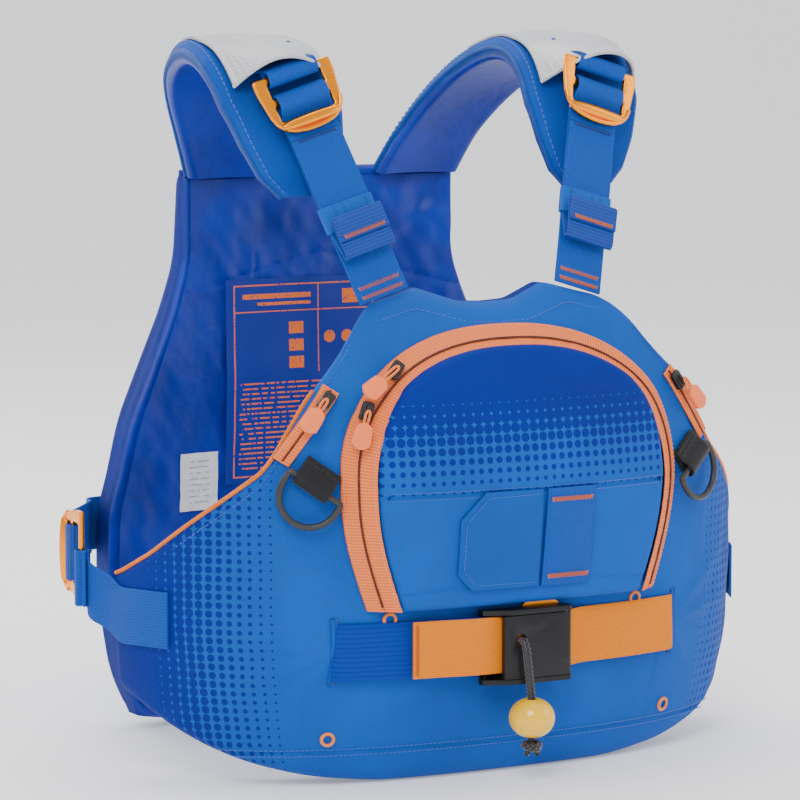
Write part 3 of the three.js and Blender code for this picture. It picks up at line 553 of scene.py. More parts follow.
def cloth_finish(name, colour, roughness=0.62, print_colour=None, dots=None, rib=0.0011, worn=0.10,
                 sheen=0.0):
    """Heavy woven nylon: diagonal ribs with painted shade in their valleys, slight fading, and where asked a
    print of dots that merge.
    """
    finish = Finish(name, colour, roughness, Sheen_Weight=sheen, Sheen_Roughness=0.4, Specular_IOR_Level=0.14)
    cloth, parts = finish.attribute("cloth")
    height = twill(finish, cloth, parts, rib)
    fading = finish.noise(finish.place(), 14, 3)
    base = finish.mix(fading.step(0.3, 0.75), shade(colour, 1 - worn), shade(colour, 1 + worn))
    if dots:
        ink = finish.mix(fading.step(0.3, 0.7), shade(print_colour, 1 - worn), shade(print_colour, 1 + worn))
        base = finish.mix(dots(parts), base, ink)
    # painted shade: the twill's low valleys are darkened in the colour and its raised ribs stay full bright
    painted_rib_shade = finish.mix(height.step(0.35, 1.1), shade((1, 1, 1), 0.80), (1, 1, 1))
    finish.set(Base_Color=finish.node("Mix", {"data_type": "RGBA", "blend_type": "MULTIPLY"},
                                      {0: 1.0, 6: base, 7: painted_rib_shade}, 2))
    finish.set(Roughness=roughness - 0.06 + fading * 0.14)
    finish.bump(height, 0.00022, 0.8)
    return finish.material


def pocket_dots(parts):
    """Dots on a square lattice that grow up the pocket until they merge into solid ink."""
    x, y, _ = parts
    size = (y - 0.197) * 0.11 + 0.0022
    off_x, off_y = x.cell(0.0068), y.cell(0.0068)
    reach = (off_x * off_x + off_y * off_y).maths("SQRT")
    edge = (size * 0.5 - reach).step(-0.00025, 0.00025)
    return edge * y.step(0.1969, 0.1971)


def side_dots(parts):
    """The same print on the sides of the front, in columns that thicken round towards the side seam.
    Here the cloth's third number is the distance past the print's start."""
    _, y, past = parts
    size = past * 0.078 + 0.0017
    off_x, off_y = past.cell(0.007), y.cell(0.0059)
    reach = (off_x * off_x + off_y * off_y).maths("SQRT")
    edge = (size * 0.5 - reach).step(-0.00025, 0.00025)
    return edge * past.step(-0.0035, -0.0034)


def webbing_finish(name, colour, roughness=0.55, rib=0.0019):
    """Strap webbing: columns of small chevrons across the width with painted shade in their hollows, with
    thread ends and a soft sheen.
    """
    finish = Finish(name, colour, roughness, Sheen_Roughness=0.35, Specular_IOR_Level=0.18)
    cloth, parts = finish.attribute("cloth")
    x, y, _ = parts
    column = (x / rib).maths("FRACT")
    slant = (column - 0.5).maths("ABSOLUTE") * rib
    chevrons = (y + slant * 1.6).wave(0.0012) * 0.5 + 0.5
    valley = (column - 0.5).maths("ABSOLUTE").step(0.5, 0.36)
    height = chevrons * 0.6 + valley * 0.7
    flecks = finish.noise(cloth, 620, 2)
    # painted shade: the colour is darker where the chevrons and the grooves between columns sink, and lighter
    # on their tops
    tint = finish.mix(height.step(0.2, 1.2), shade(colour, 0.62), shade(colour, 1.16))
    tint = finish.mix(flecks.step(0.45, 0.75) * 0.30, tint, shade(colour, 0.6))
    finish.set(Base_Color=tint, Roughness=roughness - 0.08 + flecks * 0.2)
    finish.bump(height, 0.0004, 0.9)
    return finish.material


def elastic_finish(name, colour):
    """Knitted elastic: fine ribs along the band, with painted shade between them."""
    finish = Finish(name, colour, 0.6, Specular_IOR_Level=0.18)
    cloth, parts = finish.attribute("cloth")
    x, y, _ = parts
    knit = (x.wave(0.0016) * 0.5 + 0.5) * 0.6 + (y.wave(0.0011) * 0.5 + 0.5) * 0.4
    grain = finish.noise(cloth, 700)
    # painted shade: the colour follows the knit's height and is darker in its hollows
    finish.set(Base_Color=finish.mix(knit, shade(colour, 0.7), shade(colour, 1.2)))
    finish.set(Roughness=0.5 + grain * 0.2)
    finish.bump(knit + grain * 0.3, 0.0003, 0.8)
    return finish.material


def ribbed_finish(name, colour, pitch=0.0016, roughness=0.55, depth=0.0004):
    """Cross-ribbed tape: ribs across its length with painted shade in the valleys between them, and a few
    darker threads.
    """
    finish = Finish(name, colour, roughness, Specular_IOR_Level=0.3)
    cloth, parts = finish.attribute("cloth")
    x, y, _ = parts
    ribs = y.wave(pitch) * 0.5 + 0.5
    threads = x.wave(0.0009) * 0.25 + 0.25
    grain = finish.noise(cloth, 800)
    # painted shade: the colour darkens in the valleys between the ribs; the grain adds random tone
    tint = finish.mix(ribs * 0.8 + grain * 0.3, shade(colour, 0.66), shade(colour, 1.12))
    finish.set(Base_Color=tint, Roughness=roughness - 0.05 + grain * 0.15)
    finish.bump(ribs + threads + grain * 0.3, depth, 0.9)
    return finish.material


def reflective_finish(name):
    """Silver reflective tape: honeycomb cells welded into a soft grey film."""
    finish = Finish(name, GREY_CLOTH, 0.42, Specular_IOR_Level=0.5)
    cloth, _ = finish.attribute("cloth")
    cells = finish.node("TexVoronoi", {"feature": "DISTANCE_TO_EDGE"},
                        {"Vector": cloth, "Scale": 330.0, "Randomness": 0.12}, 0)
    wall = cells.step(0.10, 0.03)
    smudge = finish.noise(finish.place(), 40, 3)
    tint = finish.mix(wall, (0.50, 0.505, 0.515), (0.72, 0.72, 0.73))
    tint = finish.mix(smudge.step(0.45, 0.8) * 0.35, tint, (0.36, 0.365, 0.375))
    finish.set(Base_Color=tint, Roughness=0.34 + smudge * 0.22, Metallic=(1 - wall) * 0.25)
    finish.bump(wall, 0.00025, 0.7)
    return finish.material


def metal_finish(name, colour, roughness=0.28, wear=(0.98, 0.62, 0.22), scratch=0.5):
    """Anodised metal: brushed grain, soft wear and fine scratches."""
    finish = Finish(name, colour, roughness, Metallic=1.0, Specular_IOR_Level=0.5)
    where = finish.place()
    grain = finish.noise(where, 260, 4)
    stretched = finish.node("Mapping", None, {"Vector": where, "Scale": (60, 900, 900)})
    brushed = finish.noise(stretched, 1.0, 3)
    marks = finish.noise(where, 55, 5).step(0.60, 0.72)
    finish.set(Base_Color=finish.mix(marks * scratch + grain * 0.15, colour, wear))
    finish.set(Roughness=roughness + brushed * 0.16 - marks * 0.06)
    finish.bump(brushed + grain * 0.5, 0.00004, 0.5)
    return finish.material


def plastic_finish(name, colour, roughness=0.48, grain_height=0.00006, scuff=0.5, coat=0.0):
    """Moulded plastic: fine spark-eroded grain and pale scuffs where it rubs."""
    finish = Finish(name, colour, roughness, Specular_IOR_Level=0.32, Coat_Weight=coat, Coat_Roughness=0.12)
    where = finish.place()
    grain = finish.noise(where, 1400, 2)
    marks = finish.noise(where, 70, 5).step(0.60, 0.74)
    pale = tuple(c + (0.10 - c * 0.1) for c in colour)
    finish.set(Base_Color=finish.mix(marks * 0.16 * scuff, colour, pale), Roughness=roughness + marks * 0.12)
    finish.bump(grain, grain_height, 0.5)
    return finish.material


def lining_finish(name, colour):
    """The smooth coated lining: close plain weave with a wet sheen and soft creases, the creases' light and
    shade painted into the colour.
    """
    finish = Finish(name, colour, 0.36, Specular_IOR_Level=0.35)
    _, parts = finish.attribute("cloth")
    x, y, _ = parts
    weave = x.wave(0.0009) * 0.25 + y.wave(0.0009) * 0.25 + 0.5
    creases = finish.noise(finish.place(), 26, 3, 0.55)
    # painted light and shade: the crease noise that bumps the cloth also lightens its tops and darkens its
    # hollows
    finish.set(Base_Color=finish.mix(creases.step(0.3, 0.75), shade(colour, 0.8), shade(colour, 1.25)))
    finish.set(Roughness=0.30 + creases * 0.2)
    soft = finish.node("Bump", None, {"Height": creases, "Distance": 0.006, "Strength": 0.35})
    finish.bump(weave, 0.00012, 0.6, soft)
    return finish.material


def foam_finish(name):
    """Closed-cell foam sheet: fine open skin on the cut edges, with painted shade in the cells' hollows."""
    finish = Finish(name, (0.62, 0.64, 0.66), 0.8, Subsurface_Weight=0.05)
    where = finish.place()
    cells = finish.node("TexVoronoi", None, {"Vector": where, "Scale": 900.0}, 0)
    # painted shade: each cell's hollow middle is darker than its raised rim
    finish.set(Base_Color=finish.mix(cells, (0.52, 0.54, 0.56), (0.70, 0.72, 0.74)))
    finish.set(Roughness=0.72 + cells * 0.2)
    finish.bump(cells, 0.0004, 0.6)
    return finish.material


def thread_finish(name, colour):
    finish = Finish(name, colour, 0.55, Sheen_Weight=0.3)
    _, parts = finish.attribute("cloth")
    twist = (parts[1] + parts[0] * 0.0008).wave(0.0007) * 0.5 + 0.5
    # painted shade: the colour darkens in the grooves of the twist, where the bump sinks
    finish.set(Base_Color=finish.mix(twist, shade(colour, 0.7), shade(colour, 1.1)))
    finish.set(Roughness=0.5 + twist * 0.12)
    finish.bump(twist, 0.0001, 0.8)
    return finish.material


def braid_finish(name):
    """Braided accessory cord: crossing strands with painted shade in the grooves between them, black with
    grey tracer flecks.
    """
    finish = Finish(name, (0.02, 0.02, 0.022), 0.6, Sheen_Weight=0.3, Specular_IOR_Level=0.35)
    _, parts = finish.attribute("cloth")
    around, run, _ = parts
    left = (around * 4 + run * 330).maths("FRACT")
    right = (around * 4 - run * 330).maths("FRACT")
    strand = (left - 0.5).maths("ABSOLUTE") + (right - 0.5).maths("ABSOLUTE")
    fleck = left.stripe(0.5, 0.16, 0.04) * right.stripe(0.25, 0.2, 0.05)
    # painted shade: the black is darker in the grooves between strands, where the bump sinks
    dark = finish.mix(strand, (0.016, 0.016, 0.018), (0.004, 0.004, 0.005))
    finish.set(Base_Color=finish.mix(fleck, dark, (0.10, 0.10, 0.11)), Roughness=0.5 + strand * 0.2)
    finish.bump(1 - strand, 0.0004, 0.9)
    return finish.material


def printed_panel_finish(name):
    """The lining's printed patch: an orange frame with plain blocks and ruled lines, and no lettering."""
    finish = Finish(name, LINING_BLUE, 0.5, Specular_IOR_Level=0.4)
    cloth, parts = finish.attribute("cloth")
    x, y, _ = parts
    half_x, half_y = 0.060, 0.072
    edge = (x.maths("ABSOLUTE") - half_x).maths("MAXIMUM", y.maths("ABSOLUTE") - half_y)
    frame = edge.stripe(-0.0030, 0.0005, 0.0002)
    frame = frame + y.stripe(0.050, 0.0004, 0.0002) * x.stripe(0.0, 0.057, 0.0002)
    frame = frame + x.stripe(-0.012, 0.0004, 0.0002) * y.stripe(0.037, 0.032, 0.0002)
    block = x.stripe(-0.042, 0.010, 0.0002) * y.stripe(0.059, 0.0052, 0.0002)
    block = block + x.stripe(0.022, 0.028, 0.0002) * y.stripe(0.0610, 0.0018, 0.0002)
    block = block + x.stripe(0.016, 0.022, 0.0002) * y.stripe(0.0555, 0.0011, 0.0002)
    disc_x, disc_y = (x + 0.035).cell(0.014), y - 0.030
    disc = (disc_x * disc_x + disc_y * disc_y).maths("SQRT").step(0.0046, 0.0043)
    discs = disc * x.stripe(-0.035, 0.021, 0.0003)
    side = x.stripe(0.006, 0.006, 0.0002) * (y.cell(0.0125).maths("ABSOLUTE").step(0.0044, 0.0041))
    side = side * y.stripe(0.025, 0.018, 0.0002) + discs
    rows = (y / 0.0036).maths("FRACT").stripe(0.5, 0.16, 0.03) * y.stripe(-0.032, 0.033, 0.0002)
    ragged = finish.noise(cloth, 160, 1) * 0.024 + 0.040
    stretched = finish.node("Mapping", None, {"Vector": cloth, "Scale": (330, 90, 1)})
    dashes = finish.noise(stretched, 1.0, 0).step(0.40, 0.43)
    rows = rows * dashes * (x.maths("ABSOLUTE") < ragged) * x.stripe(0.0, 0.053, 0.0002)
    ink = (frame + block + side + rows).maths("MINIMUM", 1.0)
    wear = finish.noise(cloth, 500, 3).step(0.34, 0.42)
    finish.set(Base_Color=finish.mix(ink * wear, shade(LINING_BLUE, 0.9), ORANGE))
    finish.set(Roughness=0.42 + wear * 0.1)
    finish.bump(ink, 0.0001, 0.6)
    return finish.material


def label_finish(name):
    """The sewn-in care label: white satin tape with a few grey ruled lines, and no lettering."""
    finish = Finish(name, (0.78, 0.78, 0.77), 0.5, Sheen_Weight=0.2)
    cloth, parts = finish.attribute("cloth")
    x, y, _ = parts
    rows = (y / 0.0042).maths("FRACT").stripe(0.5, 0.14, 0.03) * y.stripe(0.0, 0.016, 0.0005)
    rows = rows * x.stripe(0.0, 0.0085, 0.0003) * finish.noise(cloth, 260, 1).step(0.40, 0.46)
    weave = x.wave(0.0006) * 0.25 + y.wave(0.0006) * 0.25 + 0.5
    finish.set(Base_Color=finish.mix(rows * 0.7, (0.78, 0.78, 0.77), (0.25, 0.25, 0.27)))
    finish.set(Roughness=0.42 + weave * 0.15)
    finish.bump(weave, 0.0001, 0.5)
    return finish.material


PLAIN_COVER = cloth_finish("cover_mid_blue", MID_BLUE)
POCKET_COVER = cloth_finish("cover_pocket_print", MID_BLUE, print_colour=ROYAL, dots=pocket_dots)
SIDE_COVER = cloth_finish("cover_side_print", MID_BLUE, print_colour=ROYAL, dots=side_dots)
ROYAL_COVER = cloth_finish("cover_royal", ROYAL)
PATCH_CLOTH = cloth_finish("patch_cloth", shade(MID_BLUE, 0.92))
PAD_CLOTH = cloth_finish("pad_cloth", (0.0, 0.065, 0.380), 0.6)
LINING = lining_finish("lining_coated", LINING_BLUE)
BINDING = ribbed_finish("binding_tape", (0.0, 0.065, 0.380), 0.0012, 0.5, 0.0002)
REFLECTIVE = reflective_finish("reflective_film")
REFLECTIVE_EDGE = ribbed_finish("reflective_edge", (0.62, 0.625, 0.63), 0.0014, 0.45, 0.00015)
BLUE_WEB = webbing_finish("webbing_royal", (0.0, 0.070, 0.400))
ELASTIC = elastic_finish("elastic_royal", (0.0, 0.090, 0.430))
BELT_WEB = webbing_finish("belt_webbing_blue", (0.0, 0.035, 0.340), rib=0.0032)
TAIL_WEB = ribbed_finish("tail_webbing", (0.0, 0.050, 0.340), 0.0024, 0.5, 0.0005)
ORANGE_WEB = webbing_finish("belt_webbing_orange", BELT_ORANGE, 0.6, 0.0015)
ZIP_TAPE = ribbed_finish("zip_tape", TAPE_ORANGE, 0.0021, 0.55, 0.0003)
COIL = ribbed_finish("zip_coil", (0.16, 0.035, 0.020), 0.0011, 0.4, 0.0003)
PULL_RUBBER = plastic_finish("pull_rubber", (0.93, 0.190, 0.050), 0.42, 0.00008, 0.2)
PULL_CORD = thread_finish("pull_cord", ORANGE)
THREAD_BLUE = thread_finish("thread_royal", (0.010, 0.090, 0.520))
# navy thread for the strap's bar-tack, also used as painted shadow: the dark rings in the eyelets and the
# dark line in the belt's slots
NAVY_THREAD_AND_PAINTED_SHADOW = thread_finish("navy_thread_and_painted_shadow", (0.004, 0.030, 0.240))
THREAD_ORANGE = thread_finish("thread_orange", (0.900, 0.220, 0.020))
PIPING = ribbed_finish("piping_orange", (0.880, 0.200, 0.015), 0.0012, 0.5, 0.00015)
GOLD_METAL = metal_finish("anodised_gold_metal", GOLD, 0.2, (0.98, 0.42, 0.06))
PIN_METAL = metal_finish("pin_steel_metal", (0.56, 0.56, 0.55), 0.25, (0.7, 0.7, 0.7), 0.3)
SLIDER_METAL = metal_finish("zip_slider_metal", (0.035, 0.034, 0.036), 0.38, (0.30, 0.28, 0.25), 0.5)
BLACK_PLASTIC = plastic_finish("buckle_plastic", (0.006, 0.006, 0.007), 0.42)
RING_PLASTIC = plastic_finish("ring_plastic", CHARCOAL, 0.38)
BLACK_CLOTH = cloth_finish("black_cloth", (0.016, 0.016, 0.018), 0.5, rib=0.0013, sheen=0.2)
BALL_PLASTIC = plastic_finish("ball_plastic", YELLOW, 0.16, 0.00001, 0.1, coat=0.6)
BRAID = braid_finish("cord_braid")
FOAM = foam_finish("foam_sheet")
PRINTED = printed_panel_finish("lining_print")
LABEL = label_finish("care_label_satin")


# ---- Camera, light and floor ----
CAMERA_TURN = math.radians(-29)
CAMERA_RISE = math.radians(6.3)
CAMERA_REACH = 2.75
CAMERA_TARGET = Vector((0.0, 0.0118, 0.238))


def camera_and_studio():
    level = math.cos(CAMERA_RISE)
    back = Vector((math.sin(CAMERA_TURN) * level, -math.cos(CAMERA_TURN) * level, math.sin(CAMERA_RISE)))
    camera = bpy.data.objects.new("camera", bpy.data.cameras.new("camera"))
    camera.data.lens = 176.8
    camera.data.sensor_width = 36
    camera.data.dof.use_dof = False
    camera.location = CAMERA_TARGET + back * CAMERA_REACH
    camera.rotation_euler = back.to_track_quat("Z", "Y").to_euler()
    bpy.context.scene.collection.objects.link(camera)
    bpy.context.scene.camera = camera

    world = bpy.data.worlds.new("studio")
    world.use_nodes = True
    world.node_tree.nodes["Background"].inputs["Color"].default_value = (0.93, 0.95, 1.0, 1)
    world.node_tree.nodes["Background"].inputs["Strength"].default_value = 1.0
    bpy.context.scene.world = world
    lamps = [
        ("key", (-1.5, -1.9, 2.1), 1.5, 52), ("fill", (2.0, -1.4, 1.2), 1.8, 16),
        ("top", (0.2, 0.6, 2.4), 1.6, 26), ("back", (-0.8, 2.0, 1.4), 1.6, 22),
    ]
    for name, spot, size, power in lamps:
        lamp = bpy.data.lights.new(name, "AREA")
        lamp.energy, lamp.size, lamp.shape = power, size, "DISK"
        light = bpy.data.objects.new(name, lamp)
        light.location = spot
        light.rotation_euler = (Vector(spot) - CAMERA_TARGET).to_track_quat("Z", "Y").to_euler()
        bpy.context.scene.collection.objects.link(light)

    floor_finish = Finish("pale_floor", (0.93, 0.93, 0.93), 0.7, Emission_Color=(1, 1, 1, 1),
                          Emission_Strength=0.25)
    soft = floor_finish.noise(floor_finish.place(), 3, 2)
    floor_finish.set(Base_Color=floor_finish.mix(soft, (0.92, 0.92, 0.92), (0.94, 0.94, 0.94)))
    mesh = bpy.data.meshes.new("studio_floor")
    side, rise, bend, low = 6.0, 5.0, 1.2, -0.0006
    profile = [(-side, low), (side - bend, low)]
    for a in np.linspace(0.2, 1.57, 8):
        profile.append((side - bend + bend * math.sin(a), low + bend * (1 - math.cos(a))))
    profile += [(side, rise)]
    points = [(x, y, z) for y, z in profile for x in (-side * 1.6, side * 1.6)]
    faces = [(2 * i, 2 * i + 1, 2 * i + 3, 2 * i + 2) for i in range(len(profile) - 1)]
    mesh.from_pydata(points, [], faces)
    mesh.polygons.foreach_set("use_smooth", [True] * len(faces))
    mesh.materials.append(floor_finish.material)
    floor = bpy.data.objects.new("studio_floor", mesh)
    bpy.context.scene.collection.objects.link(floor)


camera_and_studio()


# ---- Front and back panels ----
ARC_HEIGHT = 0.15
PRINT_START = math.radians(52)
EDGE_ROUND = 0.010
SIDE_REACH = 0.235  # the torso from its middle to its side
YOKE_SEAM = 0.292

_turns = np.linspace(0, math.radians(90), 400)
_arc = run_along(torso(_turns, ARC_HEIGHT))


def arc_of(angle):
    """The length round the torso from the middle of the front, signed."""
    return np.interp(np.abs(angle), _turns, _arc) * np.sign(angle)


def front_relief(x, z):
    """How far the front's cloth stands proud: seams sink, and creases run out from the belt's tunnel."""
    side = np.abs(x)
    proud = -0.0011 * groove(z - HEM_SEAM, 0.0013)
    proud = proud - 0.0010 * groove(side - (0.116 + (z - 0.05) * 0.12), 0.0013) * ((z > 0.024) & (z < 0.076))
    fan = (((0.205, 0.150), 1.0), ((0.21, 0.105), 1.3), ((0.205, 0.062), 1.1), ((0.165, 0.040), 0.8))
    for end, size in fan:
        proud = proud + 0.0013 * size * fold(side, z, (SLOT_AT, BELT_Z), end, 0.0045)
    for start, end, size in (((0.06, 0.075), (0.11, 0.045), 0.8), ((0.02, 0.072), (0.05, 0.040), 0.6)):
        proud = proud + 0.0010 * size * fold(side, z, start, end, 0.005)
    proud = proud + 0.0007 * ripples(x, z, 0.075, 3) * np.clip((z - 0.03) / 0.03, 0, 1)
    return proud + 0.0005 * ripples(x * 1.5, z * 0.6, 0.03, 5) * np.clip((side - 0.13) / 0.05, 0, 1)


def front_panel():
    columns = edged(-FRONT_EDGE, FRONT_EDGE, 250, EDGE_ROUND / SIDE_REACH)
    heights = edged(front_hem(columns), front_top(columns), 140, EDGE_ROUND).T
    angle = np.broadcast_to(columns, heights.shape)
    near_u = (FRONT_EDGE - np.abs(angle)) * SIDE_REACH
    near_v = np.minimum(heights - front_hem(angle), front_top(angle) - heights)
    fall = edge_fall(near_u, near_v, EDGE_ROUND)
    flat = torso(angle, heights)
    calm = np.clip(np.minimum(near_u, near_v) / 0.006, 0, 1)
    outer = torso(angle, heights, fall - front_relief(flat[..., 0], heights) * calm)
    thick = FRONT_THICK * along(THICK_STOPS, heights, 0.012)
    inner = torso(angle, heights, thick - np.minimum(fall, 0.008) * 0.6)
    arc = arc_of(angle)
    cloth = place3(arc, heights, np.abs(arc) - arc_of(PRINT_START))
    cover = Sewing()
    sewn_panel(cover, outer, inner, cloth)
    piece = cover.make("front_cover_cloth", "torso", "cover_fabric", [SIDE_COVER, ROYAL_COVER, LINING],
                       ["front_cover"])

    creased = 0.0011 * ripples(flat[..., 0], heights, 0.06, 8)
    creased = creased + 0.0007 * ripples(flat[..., 0], heights, 0.025, 9)
    lining = Sewing()
    close, far = thick + 0.0007, thick + 0.0022
    skin = slice(4, -4)
    near = torso(angle, heights, close)[skin, skin]
    away = torso(angle, heights, far + (creased + 0.001) * np.clip((near_v - 0.01) / 0.02, 0, 1))[skin, skin]
    sewn_panel(lining, near, away, cloth[skin, skin], 0, 0, 0, 2)
    lining.make("front_lining_cloth", "torso", "lining_fabric", [LINING], ["front_lining"])


def back_hem(x):
    return along(BACK_HEM_STOPS, np.abs(x), 0.008)


def side_seam(z):
    """How far from the middle the back's side seams run."""
    return 0.100 - (z - 0.2) * 0.16


def back_relief(x, z):
    side = np.abs(x)
    proud = -0.0011 * groove(z - HEM_SEAM - 0.004, 0.0013) - 0.0011 * groove(z - YOKE_SEAM, 0.0013)
    proud = proud - 0.0011 * groove(side - side_seam(z), 0.0013) * (z < YOKE_SEAM) * (z > 0.027)
    creases = (
        ((0.02, 0.10), (0.09, 0.13)), ((0.03, 0.19), (0.095, 0.17)), ((0.16, 0.145), (0.11, 0.20)),
        ((0.165, 0.14), (0.105, 0.10)), ((0.05, 0.35), (0.02, 0.31)),
    )
    for start, end in creases:
        proud = proud + 0.0012 * fold(side, z, start, end, 0.006)
    return proud + 0.0008 * ripples(x, z, 0.08, 11)


def back_panel():
    heights_line = edged(0.0, 1.0, 160, 0.026)
    shares = edged(-1.0, 1.0, 150, 0.06)
    share, level = np.meshgrid(shares, heights_line)
    low = back_hem(share * 0.150)
    height = low + (BACK_TOP - low) * level
    x = share * along(BACK_EDGE_STOPS, height, 0.012)
    near_u = (1 - np.abs(share)) * 0.16
    near_v = np.minimum(level, 1 - level) * 0.385
    fall = edge_fall(near_u, near_v, EDGE_ROUND)
    calm = np.clip(np.minimum(near_u, near_v) / 0.006, 0, 1)
    outer = back_face(x, height, -fall + back_relief(x, height) * calm)
    thick = BACK_THICK * along(BACK_THICK_STOPS, height, 0.012)
    inner = back_face(x, height, -thick + np.minimum(fall, 0.008) * 0.6)
    cloth = place3(x, height, 0)
    cover = Sewing()
    sewn_panel(cover, outer, inner, cloth)
    whole = np.concatenate(cover.points)[np.array([face[0] for face in cover.faces])]
    sides = (np.abs(whole[:, 0]) > side_seam(whole[:, 2])) | (whole[:, 2] > YOKE_SEAM)
    cover.parts = [1 if part == 0 and side else part for part, side in zip(cover.parts, sides)]
    piece = cover.make("back_cover_cloth", "torso", "cover_fabric", [PLAIN_COVER, ROYAL_COVER, LINING],
                       ["back_cover"])

    skin = slice(4, -4)
    seam = -0.0014 * groove(height - 0.335 + np.abs(x) * 0.25, 0.0018)
    seam = seam - 0.0014 * groove(x + 0.052, 0.0018) * (height < 0.335)
    creased = 0.0013 * ripples(x, height, 0.055, 21) + 0.0008 * ripples(x * 1.4, height * 0.7, 0.022, 22)
    creased = creased + 0.0016 * fold(x, height, (0.10, 0.37), (-0.02, 0.30), 0.006)
    creased = creased + 0.0016 * fold(x, height, (-0.10, 0.36), (-0.03, 0.25), 0.006) + 0.0015
    creased = (creased * np.clip(near_v / 0.02, 0, 1) + seam) * np.clip(np.abs(x + 0.1) / 0.03, 0.15, 1)
    near = back_face(x, height, -thick - 0.0007)[skin, skin]
    away = back_face(x, height, -thick - 0.0022 - np.maximum(creased, -0.0008))[skin, skin]
    lining = Sewing()
    sewn_panel(lining, near, away, cloth[skin, skin], 0, 0, 0, 2)
    lining.make("back_lining_cloth", "torso", "lining_fabric", [LINING], ["back_lining"])


def inner_back(x, z, proud):
    """A point in front of the back panel's lining."""
    thick = BACK_THICK * along(BACK_THICK_STOPS, z, 0.012)
    return back_face(x, z, -thick - 0.0022 - proud)


def lining_patches():
    """The printed patch on the back lining, and the care label sewn beside it."""
    across, up = np.meshgrid(np.linspace(-0.064, 0.064, 40), np.linspace(-0.074, 0.074, 46))
    label_low, label_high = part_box("care_label")
    label_x, label_z = (label_low.x + label_high.x) / 2, (label_low.z + label_high.z) / 2
    label_wide = (label_high.x - label_low.x) / 0.128
    label_tall = (label_high.z - label_low.z) / 0.148
    for name, x, z, wide, tall, low, finish, slot, nodes in (
        ("lining_printed_patch", -0.014, 0.243, 1.0, 1.0, 0.0030, PRINTED, "lining_fabric", ()),
        ("care_label_cloth", label_x, label_z, label_wide, label_tall, 0.0012, LABEL, "label_white",
         ("care_label",)),
    ):
        piece = Sewing()
        wave = 0.0006 * ripples(across, up, 0.05, 31)
        base = inner_back(x + across * wide, z + up * tall, low + wave)
        skin = inner_back(x + across * wide, z + up * tall, low + wave + 0.0006)
        sewn_panel(piece, skin, base, place3(-across * wide, up * tall, 0), 0, 0, 0, 1)
        piece.make(name, "torso", slot, [finish], nodes)


def front_trims():
    """Orange piping on the top edges by the arms, eyelets with a painted shadow in each hole, the belt's slot
    edges with a painted shadow line, and the seams' stitching.
    """
    for sign, side in ((-1, "left"), (1, "right")):
        angle = np.linspace(math.radians(46), math.radians(81.5), 120) * sign
        height = front_top(angle) - 0.0029
        path = torso(angle, height, 0.0016)
        piping = Sewing()
        tube(piping, path, 0.0015, 10)
        piping.make(side + "_arm_piping", "torso", "zip_orange", [PIPING])

        eyelet = Sewing()
        dark = Sewing()
        for x, z in ((0.131, 0.033), (0.095, 0.123 - 0.010)):
            middle = front(sign * x, z, 0.0006)
            normal = front_normal(sign * x, z)
            across = unit(np.cross((0, 0, 1), normal))
            up = np.cross(normal, across)
            turn = np.linspace(0, math.tau, 64, endpoint=False)[:, None]
            thread = 0.0040 + 0.00012 * np.cos(turn * 32)
            ring = middle + (np.cos(turn) * across + np.sin(turn) * up) * thread
            tube(eyelet, ring, 0.0012, 8, hint=normal, closed=True)
            # painted shadow: a dark ring sunk just inside each eyelet's thread stands for the shade in its
            # hole
            disc = middle + (np.cos(turn) * across + np.sin(turn) * up) * 0.0032 - normal * 0.0003
            tube(dark, disc, 0.0007, 6, hint=normal, closed=True)
        eyelet.make(side + "_eyelets", "torso", "zip_orange", [THREAD_ORANGE])
        dark.make(side + "_eyelet_shadows", "torso", "cover_fabric", [NAVY_THREAD_AND_PAINTED_SHADOW])

        lip = Sewing()
        rows = np.linspace(-0.0225, 0.0225, 40)
        curve = SLOT_AT + 0.0006 + 0.0010 * (rows / 0.0225) ** 2
        # painted shadow: the thin dark tube along the slot's edge is the shade where the belt goes under the
        # cloth; the blue tube beside it is the rolled edge
        tube(lip, front(sign * curve, BELT_Z + rows, 0.0006), 0.0008, 10, part=0)
        tube(lip, front(sign * (curve + 0.0018), BELT_Z + rows, 0.0000), 0.0019, 12, part=1)
        lip.make(side + "_belt_slot_edge", "torso", "cover_fabric", [NAVY_THREAD_AND_PAINTED_SHADOW, PLAIN_COVER])

    thread = Sewing()
    for offset in (0.0022, -0.0022):
        angle = np.linspace(-1.15, 1.15, 500)
        height = HEM_SEAM + offset + 0 * angle
        keep = height > front_hem(angle) + 0.004
        path = torso(angle, height, -0.0001)[keep]
        normal = front_normal(np.clip(path[:, 0], -0.2, 0.2), height[keep])
        stitches(thread, path, normal)
    for sign in (-1, 1):
        angle = np.linspace(0.0, math.radians(80), 700) * sign
        height = front_top(angle) - 0.0125
        path = torso(angle, height, 0.0)
        stitches(thread, path, front_normal(np.clip(path[:, 0], -0.21, 0.21), height), 0.0038, 0.0027)
    thread.make("front_seam_stitching", "torso", "cover_fabric", [THREAD_BLUE])


front_panel()
back_panel()
lining_patches()
front_trims()


# ---- The shoulder straps' own directions ----
TOP_BAR = 0.016


class StrapFrame:
    """The shoulder strap's own directions: along it, across it and out from the body."""

    def __init__(self, side):
        self.side = side
        top = np.array([0.116, -0.073 + SHIFT, 0.455])
        foot = front(0.075, 0.322, 0.0)
        self.up = unit(top - foot)
        self.out = unit(np.array([0, -1.0, 0]) + self.up * self.up[1])
        self.across = unit(np.cross(self.out, self.up))
        self.top = top
        self.length = float(np.linalg.norm(top - foot))
        for name in ("up", "out", "across", "top"):
            setattr(self, name, getattr(self, name) * np.array([side, 1, 1]))

    def at(self, outward, up, across=0.0):
        return self.top + self.out * outward + self.up * up + self.across * across

    def route(self, pairs):
        return np.array([self.at(o, u) for o, u in pairs])


